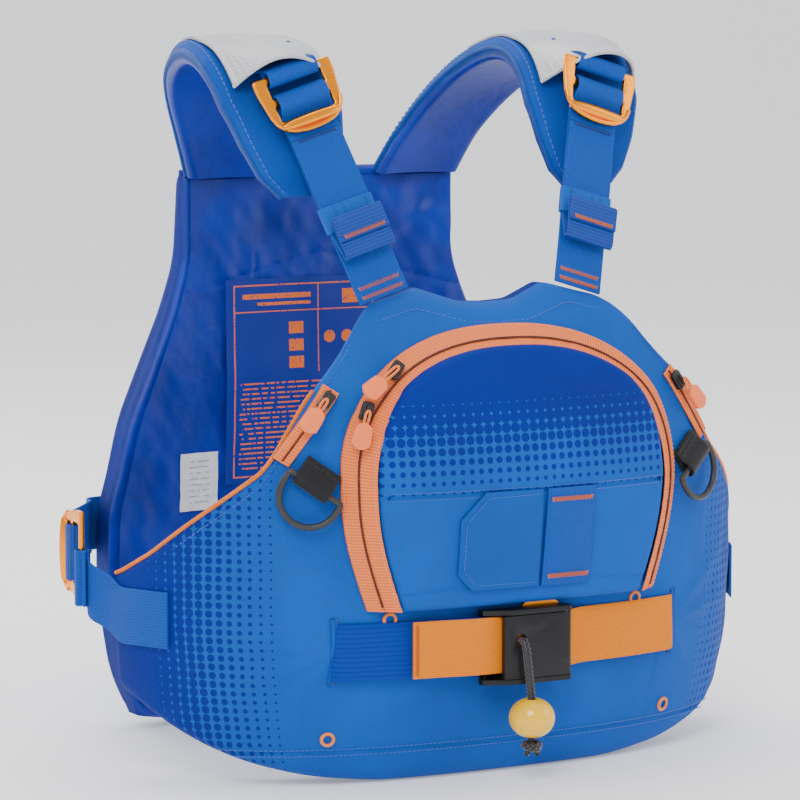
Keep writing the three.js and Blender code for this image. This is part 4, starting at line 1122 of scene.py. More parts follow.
# ---- Shoulder pads ----
PAD_PATH = np.array([
    (0.126, 0.3963, 0.076, 0.066), (0.112, 0.432, 0.092, 0.064), (0.084, 0.466, 0.109, 0.068),
    (0.042, 0.487, 0.119, 0.076), (0.002, 0.492, 0.122, 0.084), (-0.034, 0.480, 0.121, 0.090),
    (-0.057, 0.452, 0.118, 0.088), (-0.068, 0.424, 0.115, 0.074), (-0.073, 0.402, 0.113, 0.056),
    (-0.075, 0.388, 0.112, 0.030),
])  # along the body, height, distance from the middle, width
_pad_line = through(np.stack([PAD_PATH[:, 2], PAD_PATH[:, 0] + SHIFT, PAD_PATH[:, 1]], -1))
_pad_at = np.linspace(0, 1, len(_pad_line))
_pad_ahead = unit(np.gradient(_pad_line, axis=0))


def pad_width(t):
    return np.interp(t, np.linspace(0, 1, len(PAD_PATH)), PAD_PATH[:, 3])


def pad(t, across, lift, side):
    """A point of a shoulder pad: t from its back foot to its front end, across -0.5 to 0.5, and lift."""
    line = np.stack([np.interp(t, _pad_at, _pad_line[:, k]) for k in range(3)], -1)
    ahead = unit(np.stack([np.interp(t, _pad_at, _pad_ahead[:, k]) for k in range(3)], -1))
    up = unit(np.cross(ahead, (1.0, 0, 0)))
    away = line - np.array([0, 0.020 + SHIFT, 0.440])
    up = up * np.where((up * away).sum(-1) + 1e-9 > 0, 1, -1)[..., None]
    wide = pad_width(t)
    rise = lift + 0.003 * (1 - (2 * across) ** 2) - 0.003
    points = line + np.array([1.0, 0, 0]) * (across * wide)[..., None] + up * rise[..., None]
    return points * np.array([side, 1, 1])


def shoulder_pad(name, side):
    t_line, across_line = np.linspace(0, 1, 150), edged(-0.5, 0.5, 30, 0.07)
    across, t = np.meshgrid(across_line, t_line)
    near = (0.5 - np.abs(across)) * pad_width(t)
    fall = edge_fall(near, np.full(near.shape, 1.0), 0.006)
    wrinkle = 0.0006 * ripples(across * 0.07, t * 0.4, 0.05, 41) + 0.0010 * groove(t - 0.33, 0.01)
    run = t * path_length(_pad_line)
    body = Sewing()
    outer = pad(t, across, -fall + wrinkle * np.clip(near / 0.01, 0, 1), side)
    inner = pad(t, across, -PAD_THICK + fall * 0.8, side)
    sewn_panel(body, outer, inner, place3(across * 0.08, run, 0))
    for edge in (-0.5, 0.5):
        path = pad(t_line, np.full(150, edge * 0.985), np.full(150, -0.0066), side)
        tube(body, path, 0.0022, 10, part=1, flat=0.8)
    piece = body.make(name + "_pad_cloth", "torso", "pad_fabric", [PAD_CLOTH, BINDING, LINING],
                      [name + "_shoulder_pad"])
    thread = Sewing()
    fine_t = np.linspace(0.03, 0.985, 400)
    for edge in (-0.455, 0.455):
        line = pad(fine_t, np.full(400, edge), np.full(400, -0.0003), side)
        higher = pad(fine_t, np.full(400, edge), np.full(400, 0.0007), side)
        stitches(thread, line, unit(higher - line), 0.0044, 0.0028, 0.0004)
    thread.make(name + "_pad_stitching", "torso", "pad_fabric", [THREAD_BLUE])


def reflective_patch(name, side):
    strap = StrapFrame(side)
    u, v = np.meshgrid(np.linspace(-0.42, 0.42, 50), np.linspace(0.30, 0.640, 80))
    t = v - 0.045 * (1 - (u / 0.42) ** 2) * np.maximum(0, v - 0.5) / 0.14
    low = 0.0006 + 0.0046 * np.clip((v - 0.47) * 12, 0, 1) * (1 - 0.4 * (u / 0.42) ** 4)
    reach = np.clip((v - 0.52) / 0.12, 0, 1) ** 1.6
    pull = (strap.at(0.0066, TOP_BAR + 0.0085) - pad(np.array(0.595), np.array(0.0), np.array(0.004), side))
    arch = (reach * np.maximum(0, 1 - (np.abs(u) / 0.42) ** 2.6))[..., None] * pull
    patch = Sewing()
    length = path_length(_pad_line)
    edge = ((v > 0.630) | (v < 0.306) | (np.abs(u) > 0.395))[:-1, :-1].ravel()
    wave = 0.0003 * ripples(u * 0.08, t * length, 0.03, 45)
    sewn_panel(patch, pad(t, u, low + 0.0014 + wave, side) + arch, pad(t, u, low, side) + arch,
               place3(u * 0.08, t * length, 0), 0, 1, 1, 2)
    patch.parts[: len(edge)] = [1 if e else 0 for e in edge]
    tube(patch, pad(t[-1], u[-1], low[-1] + 0.0008, side) + arch[-1], 0.0013, 10, part=1)
    patch.make(name + "_reflective_film", "torso", "reflective", [REFLECTIVE, REFLECTIVE_EDGE],
               [name + "_reflective_patch"])
    thread = Sewing()
    for row in (-0.40, 0.40):
        line = pad(t[:, 0], np.full(80, row), low[:, 0] + 0.0015, side)
        higher = pad(t[:, 0], np.full(80, row), low[:, 0] + 0.0025, side)
        stitches(thread, line, unit(higher - line), 0.0036, 0.0025, 0.0003)
    grey_thread = thread_finish(name + "_grey_thread", (0.5, 0.5, 0.5))
    thread.make(name + "_reflective_stitching", "torso", "reflective", [grey_thread])


for pad_side, pad_sign in (("left", -1), ("right", 1)):
    shoulder_pad(pad_side, pad_sign)
    reflective_patch(pad_side, pad_sign)


# ---- Fittings: the frame's own shapes with softened edges ----
def dressed(node, body, finish, soft=0.0006, steps=3, name=None):
    """A fitting in the frame's exact shape, its edges rounded as moulding or casting leaves them."""
    source = frame["nodes"][node]
    mesh = source.data.copy()
    mesh.transform(source.matrix_world)
    mesh.materials.clear()
    mesh.materials.append(finish)
    shape = bmesh.new()
    shape.from_mesh(mesh)
    for layer in list(shape.loops.layers.uv.values()):
        shape.loops.layers.uv.remove(layer)
    bmesh.ops.remove_doubles(shape, verts=shape.verts, dist=0.00001)
    bmesh.ops.dissolve_limit(shape, angle_limit=math.radians(1.0), verts=shape.verts, edges=shape.edges)
    bmesh.ops.recalc_face_normals(shape, faces=shape.faces)
    shape.to_mesh(mesh)
    shape.free()
    mesh.polygons.foreach_set("material_index", [0] * len(mesh.polygons))
    mesh.polygons.foreach_set("use_smooth", [True] * len(mesh.polygons))
    piece = bpy.data.objects.new(name or node + "_part", mesh)
    bpy.context.scene.collection.objects.link(piece)
    round_off = piece.modifiers.new("soft_edges", "BEVEL")
    round_off.width, round_off.segments = soft, steps
    round_off.limit_method, round_off.angle_limit = "ANGLE", math.radians(32)
    round_off.harden_normals = True
    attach(piece, body)
    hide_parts(node)
    return piece


def rounded_corners(corners, count=8):
    """An outline from (x, y, corner radius) points, its corners turned into arcs."""
    outline = []
    for i, (x, y, radius) in enumerate(corners):
        here = np.array([x, y])
        to_last = unit(np.array(corners[i - 1][:2]) - here)
        to_next = unit(np.array(corners[(i + 1) % len(corners)][:2]) - here)
        half_turn = math.acos(np.clip(to_last @ to_next, -1, 1)) / 2
        if radius <= 0:
            outline.append(here)
            continue
        centre = here + unit(to_last + to_next) * radius / math.sin(half_turn)
        start = here + to_last * radius / math.tan(half_turn) - centre
        end = here + to_next * radius / math.tan(half_turn) - centre
        for share in np.linspace(0, 1, count):
            outline.append(centre + unit(start * (1 - share) + end * share) * radius)
    return outline


def stamped_plate(outlines, thick, edge, place):
    """A plate with round edges cut to an outline with holes; place turns (x, y, height) into points."""
    curve = bpy.data.curves.new("plate_outline", "CURVE")
    curve.dimensions, curve.fill_mode = "2D", "BOTH"
    curve.extrude, curve.bevel_depth, curve.bevel_resolution, curve.offset = thick / 2 - edge, edge, 4, -edge
    for outline in outlines:
        spline = curve.splines.new("POLY")
        spline.points.add(len(outline) - 1)
        spline.points.foreach_set("co", np.array([(x, y, 0, 1) for x, y in outline]).ravel())
        spline.use_cyclic_u = True
    holder = bpy.data.objects.new("plate_outline", curve)
    bpy.context.scene.collection.objects.link(holder)
    mesh = bpy.data.meshes.new_from_object(holder.evaluated_get(bpy.context.evaluated_depsgraph_get()))
    shape = bmesh.new()
    shape.from_mesh(mesh)
    bmesh.ops.remove_doubles(shape, verts=shape.verts, dist=0.000005)
    points = np.array([place(*v.co) for v in shape.verts])
    shape.verts.index_update()
    faces = [[v.index for v in face.verts] for face in shape.faces]
    shape.free()
    bpy.data.objects.remove(holder)
    bpy.data.curves.remove(curve)
    return points, faces


def ladder_lock(name, body, node, place):
    """A forged strap slider: thin top bar, two slots, arms that widen to a round lower bar, and a lip."""
    outline = rounded_corners([
        (-0.0300, 0.0185, 0.0024), (-0.0300, 0.0090, 0.0200), (-0.0268, -0.0120, 0.0130),
        (-0.0150, -0.0225, 0.0160), (0.0150, -0.0225, 0.0160), (0.0268, -0.0120, 0.0130),
        (0.0300, 0.0090, 0.0200), (0.0300, 0.0185, 0.0024),
    ])
    slots = [rounded_corners([(-0.0205, middle + 0.0055, 0.0018), (-0.0205, middle - 0.0055, 0.0018),
                              (0.0205, middle - 0.0055, 0.0018), (0.0205, middle + 0.0055, 0.0018)])
             for middle in (0.008, -0.008)]
    lock = Sewing()
    points, faces = stamped_plate([outline] + slots, 0.0034, 0.0014, place)
    lock.add(points, points * 0, faces)
    bar = np.array([place(x, -0.0172, 0.0010) for x in np.linspace(-0.0215, 0.0215, 30)])
    swell = np.sin(np.linspace(0.12, math.pi - 0.12, 30)) ** 0.25 * 0.0042
    out = unit(np.array(place(0, 0, 0.01)) - np.array(place(0, 0, 0)))
    tube(lock, bar, swell, 22, hint=out)
    lip_line = [(-0.0262, -0.0085), (-0.0235, -0.0150), (-0.0170, -0.0203), (-0.0085, -0.0226), (0, -0.0232),
                (0.0085, -0.0226), (0.0170, -0.0203), (0.0235, -0.0150), (0.0262, -0.0085)]
    lip = smooth_path([place(x, y, 0.0012) for x, y in lip_line], 60)
    tube(lock, lip, 0.0017, 12, hint=out)
    lock.make(name, body, "anodised_gold", [GOLD_METAL], [node], sharp=50)


# ---- Webbing: bar-tacks, rolls round the bars ----
def bar_tack(sewing, middle, across, ahead, width, tall=0.0030, pitch=0.00055, radius=0.00024, part=0):
    """A dense zigzag of thread across a strap."""
    across, ahead = unit(across), unit(ahead)
    normal = unit(np.cross(across, ahead))
    count = int(width / pitch)
    swing = np.where(np.arange(count + 1) % 2 == 0, 0.5, -0.5)[:, None]
    line = np.linspace(-0.5, 0.5, count + 1)[:, None] * width
    path = middle + across * line + ahead * swing * tall
    for layer in (-1, 1):
        tube(sewing, path + normal * radius * layer * 0.6, radius, 5, hint=normal, part=part)


BAR_ROLL = math.hypot(0.003, 0.005) / 2 + 0.0003 + 0.0009


def round_bar(bar, sign, reach, back, returned):
    """A strap's route round a bar: (outward, along) pairs, from the lower layer round to the upper one."""
    r = BAR_ROLL
    return [
        (back, bar + sign * reach), (back, bar + 0.008 * sign), (-r, bar + 0.004 * sign), (-r, bar),
        (-0.7 * r, bar - sign * 0.7 * r), (0, bar - 1.12 * sign * r), (0.7 * r, bar - sign * 0.7 * r),
        (r, bar), (r, bar + 0.004 * sign), (returned, bar + 0.013 * sign), (returned, bar + sign * reach),
    ]


LAYER_BACK, LAYER_FRONT = -0.0054, -0.0032
KEEPER_LAYER = -0.0043
KEEPER_SHARE, TAIL_SHARE = 0.58, 0.78


def shoulder_strap(name, side):
    strap = StrapFrame(side)
    anchor = Sewing()
    roll = round_bar(TOP_BAR, 1, 0.021, LAYER_BACK, -0.0016)
    under = [pad(np.array(t), np.array(0.0), np.array(0.0008), side) for t in (0.545, 0.56, 0.585)]
    over = [pad(np.array(t), np.array(0.0), np.array(0.0026), side) for t in (0.582, 0.56, 0.545)]
    webbing(anchor, np.vstack([under, strap.route(roll[1:9]), over]), strap.across)
    anchor.make(name + "_anchor_webbing", "torso", "webbing_blue", [BLUE_WEB], [name + "_strap_anchor"])

    loop = Sewing()
    webbing(loop, strap.route(round_bar(0.0, -1, 0.027, LAYER_BACK, LAYER_FRONT)), strap.across)
    loop.make(name + "_loop_webbing", name + "_shoulder_slider", "webbing_blue", [BLUE_WEB],
              [name + "_strap_loop"])

    foot = -strap.length + 0.002
    run = Sewing()
    curve = [(LAYER_BACK, -0.0273), (LAYER_BACK + 0.0002, -0.05), (LAYER_BACK, -0.0733),
             (LAYER_BACK + 0.0006, -0.11), (LAYER_BACK, foot)]
    webbing(run, strap.route(curve), strap.across, step=0.003)
    run.make(name + "_strap_webbing", "torso", "webbing_blue", [BLUE_WEB], [name + "_shoulder_strap"])

    tail = Sewing()
    keeper_up, fold = -strap.length * KEEPER_SHARE, -strap.length * TAIL_SHARE
    flat = [(LAYER_FRONT, -0.0273), (LAYER_FRONT, keeper_up + 0.012), (LAYER_FRONT, keeper_up - 0.012),
            (LAYER_FRONT + 0.0012, keeper_up - 0.016), (LAYER_FRONT + 0.004, fold + 0.004)]
    flap = [(LAYER_FRONT + 0.0042, fold + 0.0035), (LAYER_FRONT + 0.0060, fold + 0.0004),
            (LAYER_FRONT + 0.0080, fold + 0.0016), (LAYER_FRONT + 0.0088, fold + 0.0060),
            (LAYER_FRONT + 0.0086, fold + 0.014), (LAYER_FRONT + 0.0082, fold + 0.024),
            (LAYER_FRONT + 0.0092, fold + 0.0285), (LAYER_FRONT + 0.0106, fold + 0.0278),
            (LAYER_FRONT + 0.0106, fold + 0.020), (LAYER_FRONT + 0.0104, fold + 0.012)]
    webbing(tail, strap.route(flat), strap.across, step=0.003)
    webbing(tail, strap.route(flap), strap.across, 0.0384, 0.0018, step=0.001, part=1)
    tail.make(name + "_tail_webbing", "torso", "webbing_blue", [BLUE_WEB, TAIL_WEB], [name + "_strap_tail"])

    thread = Sewing()
    for up, lift in ((fold + 0.0145, LAYER_FRONT + 0.0118), (foot + 0.010, LAYER_BACK + 0.0013),
                     (foot + 0.0035, LAYER_BACK + 0.0013)):
        bar_tack(thread, strap.at(lift, up), strap.across, strap.up, 0.031, 0.0026)
    bar_tack(thread, strap.at(LAYER_FRONT + 0.0012, -0.029), strap.across, strap.up, 0.030, 0.0018, part=1)
    thread.make(name + "_strap_bar_tacks", "torso", "webbing_orange", [THREAD_ORANGE, NAVY_THREAD_AND_PAINTED_SHADOW])

    turn = np.linspace(0, math.tau, 48, endpoint=False)
    half, thick = 0.0204, 0.0034
    section = np.stack([np.sign(np.cos(turn)) * np.abs(np.cos(turn)) ** 0.22 * half,
                        np.sign(np.sin(turn)) * np.abs(np.sin(turn)) ** 0.55 * thick], -1)
    keeper = Sewing()
    rows = []
    for up in np.linspace(-0.009, 0.009, 16):
        lip = 0.0005 * (abs(up) > 0.0075)
        rows.append([strap.at(KEEPER_LAYER + v * (1 - lip * 60), keeper_up + up + 0.0004 * math.sin(u * 260),
                              u * (1 - lip * 8)) for u, v in section])
    outer = np.array(rows)
    hole = []
    for ring, up in ((outer[-1], 0.009), (outer[0], -0.009)):
        centre = strap.at(KEEPER_LAYER, keeper_up + up)
        spread = ring - centre
        hole.append(centre + spread * 0.965 - strap.out * (spread @ strap.out)[:, None] * 0.20)
    rings = np.concatenate([outer, hole[0][None], hole[1][None]])
    run_up = np.concatenate([np.linspace(-0.009, 0.009, 16), [0.009, -0.009]])
    girth = np.broadcast_to(np.cumsum(np.linalg.norm(np.diff(section, axis=0, append=section[:1]), axis=1)),
                            rings.shape[:2])
    keeper.grid(rings, place3(run_up[:, None] + 0 * girth, girth, 0), wrap_rows=True, wrap_columns=True)
    keeper.make(name + "_keeper_elastic", name + "_strap_keeper", "elastic_blue", [ELASTIC],
                [name + "_strap_keeper"])
    ladder_lock(name + "_gold_ladder_lock", name + "_shoulder_slider", name + "_shoulder_slider",
                lambda x, y, lift: strap.at(lift, y, x))


class SideFrame:
    """The side adjuster's own directions: out from the body, forward and up."""

    def __init__(self, side):
        mirror = np.array([side, 1, 1])
        self.at_rest = np.array([0.243, 0.016 + SHIFT, 0.146]) * mirror
        self.forward = unit(np.array([0.12, -1, 0])) * mirror
        self.out = unit(np.array([1, 0.12, 0])) * mirror
        self.mirror = mirror

    def at(self, outward, forward, z=0.0):
        return self.at_rest + self.out * outward + self.forward * forward + np.array([0, 0, z])


def side_adjuster(name, side):
    place = SideFrame(side)
    up = np.array([0, 0, 1.0])
    anchor = Sewing()
    base = [torso(math.radians(a), 0.112, -0.0018) * place.mirror for a in (69, 71, 75, 79, 82.5)]
    base[-1] = base[-1] * np.array([1, 1, 0]) + np.array([0, 0, 0.1165])
    route = round_bar(TOP_BAR, 1, 0.014, 0.0012, -0.0026)
    wrap = [place.at(-o, f, 0.0) for o, f in route]
    heights = [p[2] for p in base]
    path = np.array(base + wrap)
    webbing(anchor, path * np.array([1, 1, 0]) + np.array([0, 0, 1]) * np.interp(
        np.arange(len(path)), [0, 3, 6, len(path)], [heights[0], heights[3], 0.131, 0.132])[:, None],
            up, step=0.0015)
    anchor.make(name + "_side_anchor_webbing", "torso", "webbing_blue", [BLUE_WEB], [name + "_side_anchor"])
    loop = Sewing()
    turn = round_bar(0.0, -1, 0.028, LAYER_BACK, LAYER_FRONT)
    webbing(loop, np.array([place.at(o, f) for o, f in turn]), up)
    loop.make(name + "_side_loop_webbing", name + "_side_slider", "webbing_blue", [TAIL_WEB],
              [name + "_side_loop"])
    ladder_lock(name + "_gold_side_lock", name + "_side_slider", name + "_side_slider",
                lambda x, y, lift: place.at(lift, y, x))
    strap = Sewing()
    corner_z = 0.146
    edge = float(along(BACK_EDGE_STOPS, corner_z))
    corner = back_face(edge, corner_z, 0.0) * place.mirror
    route = [place.at(-0.0054, -0.0283), place.at(-0.0074, -0.040), place.at(-0.0114, -0.052),
             corner + np.array([side * 0.006, -0.009, 0]), corner + np.array([side * 0.003, 0.002, 0])]
    route += [back_face(edge - inset, corner_z, 0.0020) * place.mirror for inset in (0.008, 0.018, 0.030)]
    webbing(strap, np.array(route), up, step=0.003)
    strap.make(name + "_side_strap_webbing", "torso", "webbing_blue", [BLUE_WEB], [name + "_side_strap"])
    thread = Sewing()
    end = back_face(edge - 0.026, corner_z, 0.0031) * place.mirror
    inward = back_face(edge - 0.030, corner_z, 0.0031) - back_face(edge - 0.020, corner_z, 0.0031)
    inward = inward * place.mirror
    bar_tack(thread, end, up, inward, 0.031)
    bar_tack(thread, back_face(edge - 0.014, corner_z, 0.0031) * place.mirror, up, inward, 0.031)
    thread.make(name + "_side_strap_bar_tacks", "torso", "webbing_orange", [THREAD_ORANGE])


for strap_side, strap_sign in (("left", -1), ("right", 1)):
    shoulder_strap(strap_side, strap_sign)
    side_adjuster(strap_side, strap_sign)


# ---- D-rings ----
def d_ring(name, side):
    mirror = np.array([side, 1, 1])
    at_x, at_z, half, wire = 0.1465, 0.203, 0.020, 0.0044
    normal = front_normal(at_x, at_z) * mirror
    bar = np.array([0.83 * side, 0, 0.56])
    bar = unit(bar - normal * (bar @ normal))
    down = np.cross(normal, bar)
    down = down if down[2] < 0 else -down
    middle = front(at_x, at_z, 0.006) * mirror
    turn = np.linspace(0, math.pi, 40)
    loop = [middle + bar * half * math.cos(a) + down * (0.007 + half * math.sin(a)) for a in turn]
    straight = [middle - bar * half + down * s for s in (0.0055, 0.003, 0.0015)]
    corner = [middle - bar * (half - 0.0015), middle - bar * (half * 0.7)]
    back_run = [middle + bar * (half * 0.7), middle + bar * (half - 0.0015)]
    rise = [middle + bar * half + down * s for s in (0.0015, 0.003, 0.0055)]
    ring_path = smooth_path(np.array(loop + straight + corner + back_run + rise), 200, closed=True)
    ring = Sewing()
    tube(ring, ring_path, wire / 2, 20, hint=normal, closed=True)
    ring.make(name + "_d_ring_loop", name + "_d_ring", "black_plastic", [RING_PLASTIC], [name + "_d_ring"])

    base = front(at_x, at_z, 0.0) * mirror
    tab = Sewing()
    pairs = [(-0.016, 0.0012), (-0.006, 0.0012), (-0.001, 0.0014), (0.0024, 0.0029), (0.0038, 0.006),
             (0.0024, 0.0090), (-0.001, 0.0101), (-0.005, 0.0088), (-0.010, 0.0056), (-0.016, 0.0036)]
    path = np.array([base + down * d + normal * o for d, o in pairs])
    webbing(tab, path, bar, 0.026, 0.0015, 0.001)
    tab.make(name + "_ring_tab", "torso", "black_fabric", [BLACK_CLOTH], [name + "_d_ring_tab"])
    thread = Sewing()
    bar_tack(thread, base + down * -0.0125 + normal * 0.0054, bar, down, 0.021, 0.0022)
    tab_thread = thread_finish(name + "_tab_thread", BLACK)
    thread.make(name + "_ring_tab_bar_tack", "torso", "black_fabric", [tab_thread])


for ring_side, ring_sign in (("left", -1), ("right", 1)):
    d_ring(ring_side, ring_sign)


# ---- The pocket ----
def pocket(across, up, inset, proud):
    """A point over the pocket: across -1 to 1, up 0 to 1, inset from its edge, proud of the front."""
    s = np.sin(across * math.pi / 2)
    half = POCKET_FOOT_HALF - inset + 0.018 * np.sin(up * math.pi / 2)
    arch = np.maximum(0, 1 - np.abs(s) ** 2.3) ** (1 / 2.3)
    top = POCKET_SHOULDER + (POCKET_TOP - POCKET_SHOULDER - inset) * arch
    return front(s * half, POCKET_BOTTOM + (top - POCKET_BOTTOM) * up, proud)


def pocket_edge(t, inset, proud):
    """A point of the pocket's edge, from its left foot over the arch to its right foot, t from -1 to 1."""
    t = np.asarray(t, float)
    inner = np.abs(t) <= 0.6
    across = np.where(inner, t / 0.6, np.sign(t))
    up = np.where(inner, 1.0, (1 - np.abs(t)) / 0.4)
    return pocket(across, up, inset, proud)


def crown(x, z):
    middle = np.maximum(0, 1 - (x / POCKET_HALF) ** 2)
    return 0.005 * middle * np.sin(math.pi * np.clip((z - POCKET_BOTTOM) / 0.1834, 0, 1))


def pocket_relief(x, z):
    """Seams and creases of the pocket's face: the flap's edge lies over the lower part."""
    lower_seam = 0.138 - 0.009 * np.abs(x) / 0.105
    proud = 0.0009 * np.clip((z - 0.1962) / 0.0012, 0, 1) - 0.0010 * groove(z - 0.1958, 0.0009)
    proud = proud - 0.0009 * groove(z - lower_seam, 0.0012) * (np.abs(x) < 0.102)
    proud = proud + 0.0006 * ripples(x, z, 0.07, 51)
    for start, end, size in (((-0.090, 0.13), (-0.05, 0.19), 1.0), ((0.09, 0.135), (0.05, 0.185), 0.9),
                             ((0.0, 0.21), (-0.06, 0.26), 0.5), ((0.03, 0.30), (0.05, 0.23), 0.6)):
        proud = proud + 0.0010 * size * fold(x, z, start, end, 0.006)
    return proud


PANEL_INSET = 0.0196
PANEL_ROUND = 0.0045


def panel_place(across, up, inset, fall):
    inset = inset - 0.0065 * np.clip((up - 0.45) / 0.5, 0, 1) * np.clip((0.93 - np.abs(across)) / 0.4, 0, 1)
    spot = pocket(across, up, inset, 0.0)
    x, z = spot[..., 0], spot[..., 2]
    foot = edge_fall(z - POCKET_BOTTOM, np.full(z.shape, 1.0), PANEL_ROUND)
    calm = np.clip(1 - fall / 0.003, 0, 1) * np.clip((z - POCKET_BOTTOM) / 0.008, 0, 1)
    proud = POCKET_PROUD + crown(x, z) + pocket_relief(x, z) * calm - fall - foot * 0.8
    return front(x, z, np.maximum(proud, 0.001)), place3(x, z, 0)


def pocket_panel():
    across_line = np.linspace(-1, 1, 170)
    up_line = edged(0.0, 1.0, 110, 0.02)
    across, up = np.meshgrid(across_line, up_line)
    panel = Sewing()
    inset = PANEL_INSET + PANEL_ROUND
    panel.grid(*panel_place(across, up, inset, 0 * up))
    side = np.concatenate([np.full(len(up_line) - 1, -1.0), across_line, np.full(len(up_line) - 1, 1.0)])
    rise = np.concatenate([up_line[:-1], np.ones(len(across_line)), up_line[-2::-1]])
    bends = np.sin(np.linspace(0, math.pi / 2, 6))
    levels = [(inset - PANEL_ROUND * b, PANEL_ROUND * (1 - math.sqrt(1 - min(b, 1) ** 2))) for b in bends]
    levels += [(PANEL_INSET, fall) for fall in (0.008, 0.0112)]
    strips = [panel_place(side, rise, edge, np.full(len(side), fall)) for edge, fall in levels]
    panel.grid(np.array([s[0] for s in strips]), np.array([s[1] for s in strips]))
    foot_points, foot_cloth = panel_place(across_line, np.zeros(170), inset, np.zeros(170))
    spot = pocket(across_line, np.zeros(170), inset, 0.0)
    low = front(spot[:, 0], spot[:, 2], 0.001)
    panel.grid(np.array([foot_points, low]), np.array([foot_cloth, foot_cloth]))
    piece = panel.make("pocket_face_cloth", "pocket_panel", "cover_fabric", [POCKET_COVER, LINING],
                       ["pocket_panel"], weld=True)
    wall = piece.modifiers.new("cloth_thickness", "SOLIDIFY")
    wall.thickness, wall.offset, wall.material_offset, wall.material_offset_rim = 0.0014, -1.0, 1, 0

    thread = Sewing()
    for seam_z, width in ((0.1985, 0.106), (0.1938, 0.106)):
        x = np.linspace(-width, width, 300)
        z = np.full(300, seam_z)
        lift = POCKET_PROUD + crown(x, z) + pocket_relief(x, z) + 0.0001
        stitches(thread, front(x, z, lift), front_normal(x, z), 0.0032, 0.0024, 0.0003)
    thread.make("pocket_seam_stitching", "pocket_panel", "cover_fabric", [THREAD_BLUE])


TAPE_THICK = 0.0016
TAPE_RISE = 0.0055  # from a tape's sewn edge up to its coil
ZIP_THREAD = thread_finish("thread_zip", (0.90, 0.32, 0.13))


def zip_tapes():
    """The pocket's two zip tapes, ribbed across, with the coil between them, and their edge stitching."""
    t = np.linspace(-1, 1, 420)
    for name, body, start, low, nodes in (
        ("pocket_zip_outer_tape", "torso", 0.0, 0.0021, ["pocket_zip_tape_vest"]),
        ("pocket_zip_inner_tape", "pocket_panel", 0.0093, 0.0076, ["pocket_zip_tape_panel"]),
    ):
        tape = Sewing()
        across = np.linspace(0, 1, 12)
        rounded = 0.0004 * (1 - np.sqrt(1 - np.clip(np.abs(2 * across - 1) * 1.02 - 0.02, 0, 1) ** 8))
        t_grid, across_grid = np.meshgrid(t, across)
        wave = 0.00025 * ripples(t_grid * 0.35, across_grid * 0.01, 0.02, 61)
        proud = low + TAPE_RISE * across_grid + wave
        top = pocket_edge(t_grid, start + across_grid * TAPE, proud - rounded[:, None])
        under = pocket_edge(t_grid, start + across_grid * TAPE, proud - TAPE_THICK + rounded[:, None])
        run = run_along(top[5])
        sewn_panel(tape, top, under, place3(across_grid * TAPE, run[None, :], 0), 0, 0, 0, 2)
        tape.make(name, body, "zip_orange", [ZIP_TAPE], nodes)
        thread = Sewing()
        for share in (0.12, 0.88) if start == 0 else (0.80,):
            lift = low + TAPE_RISE * share + 0.0001
            line = pocket_edge(np.linspace(-0.99, 0.99, 900), start + share * TAPE, lift)
            stitches(thread, line, front_normal(line[:, 0], line[:, 2]), 0.0030, 0.0021, 0.0003)
        thread.make(name + "_stitching", body, "zip_orange", [ZIP_THREAD])
    coil = Sewing()
    path = pocket_edge(np.linspace(-0.985, 0.985, 800), TAPE - 0.0004, 0.0021 + TAPE_RISE * 0.95)
    tube(coil, path, 0.00085, 8, part=0)
    coil.make("pocket_zip_coil", "torso", "zip_orange", [COIL])


pocket_panel()
zip_tapes()


# ---- Lash patch and its webbing, on the pocket ----
def panel_face(x, z, lift):
    return front(x, z, POCKET_PROUD + crown(x, z) + lift)


LASH_LOW, LASH_HIGH = 0.131, 0.197
HIGH_CUT, LOW_CUT = 0.018, 0.0108  # the patch's cut corners


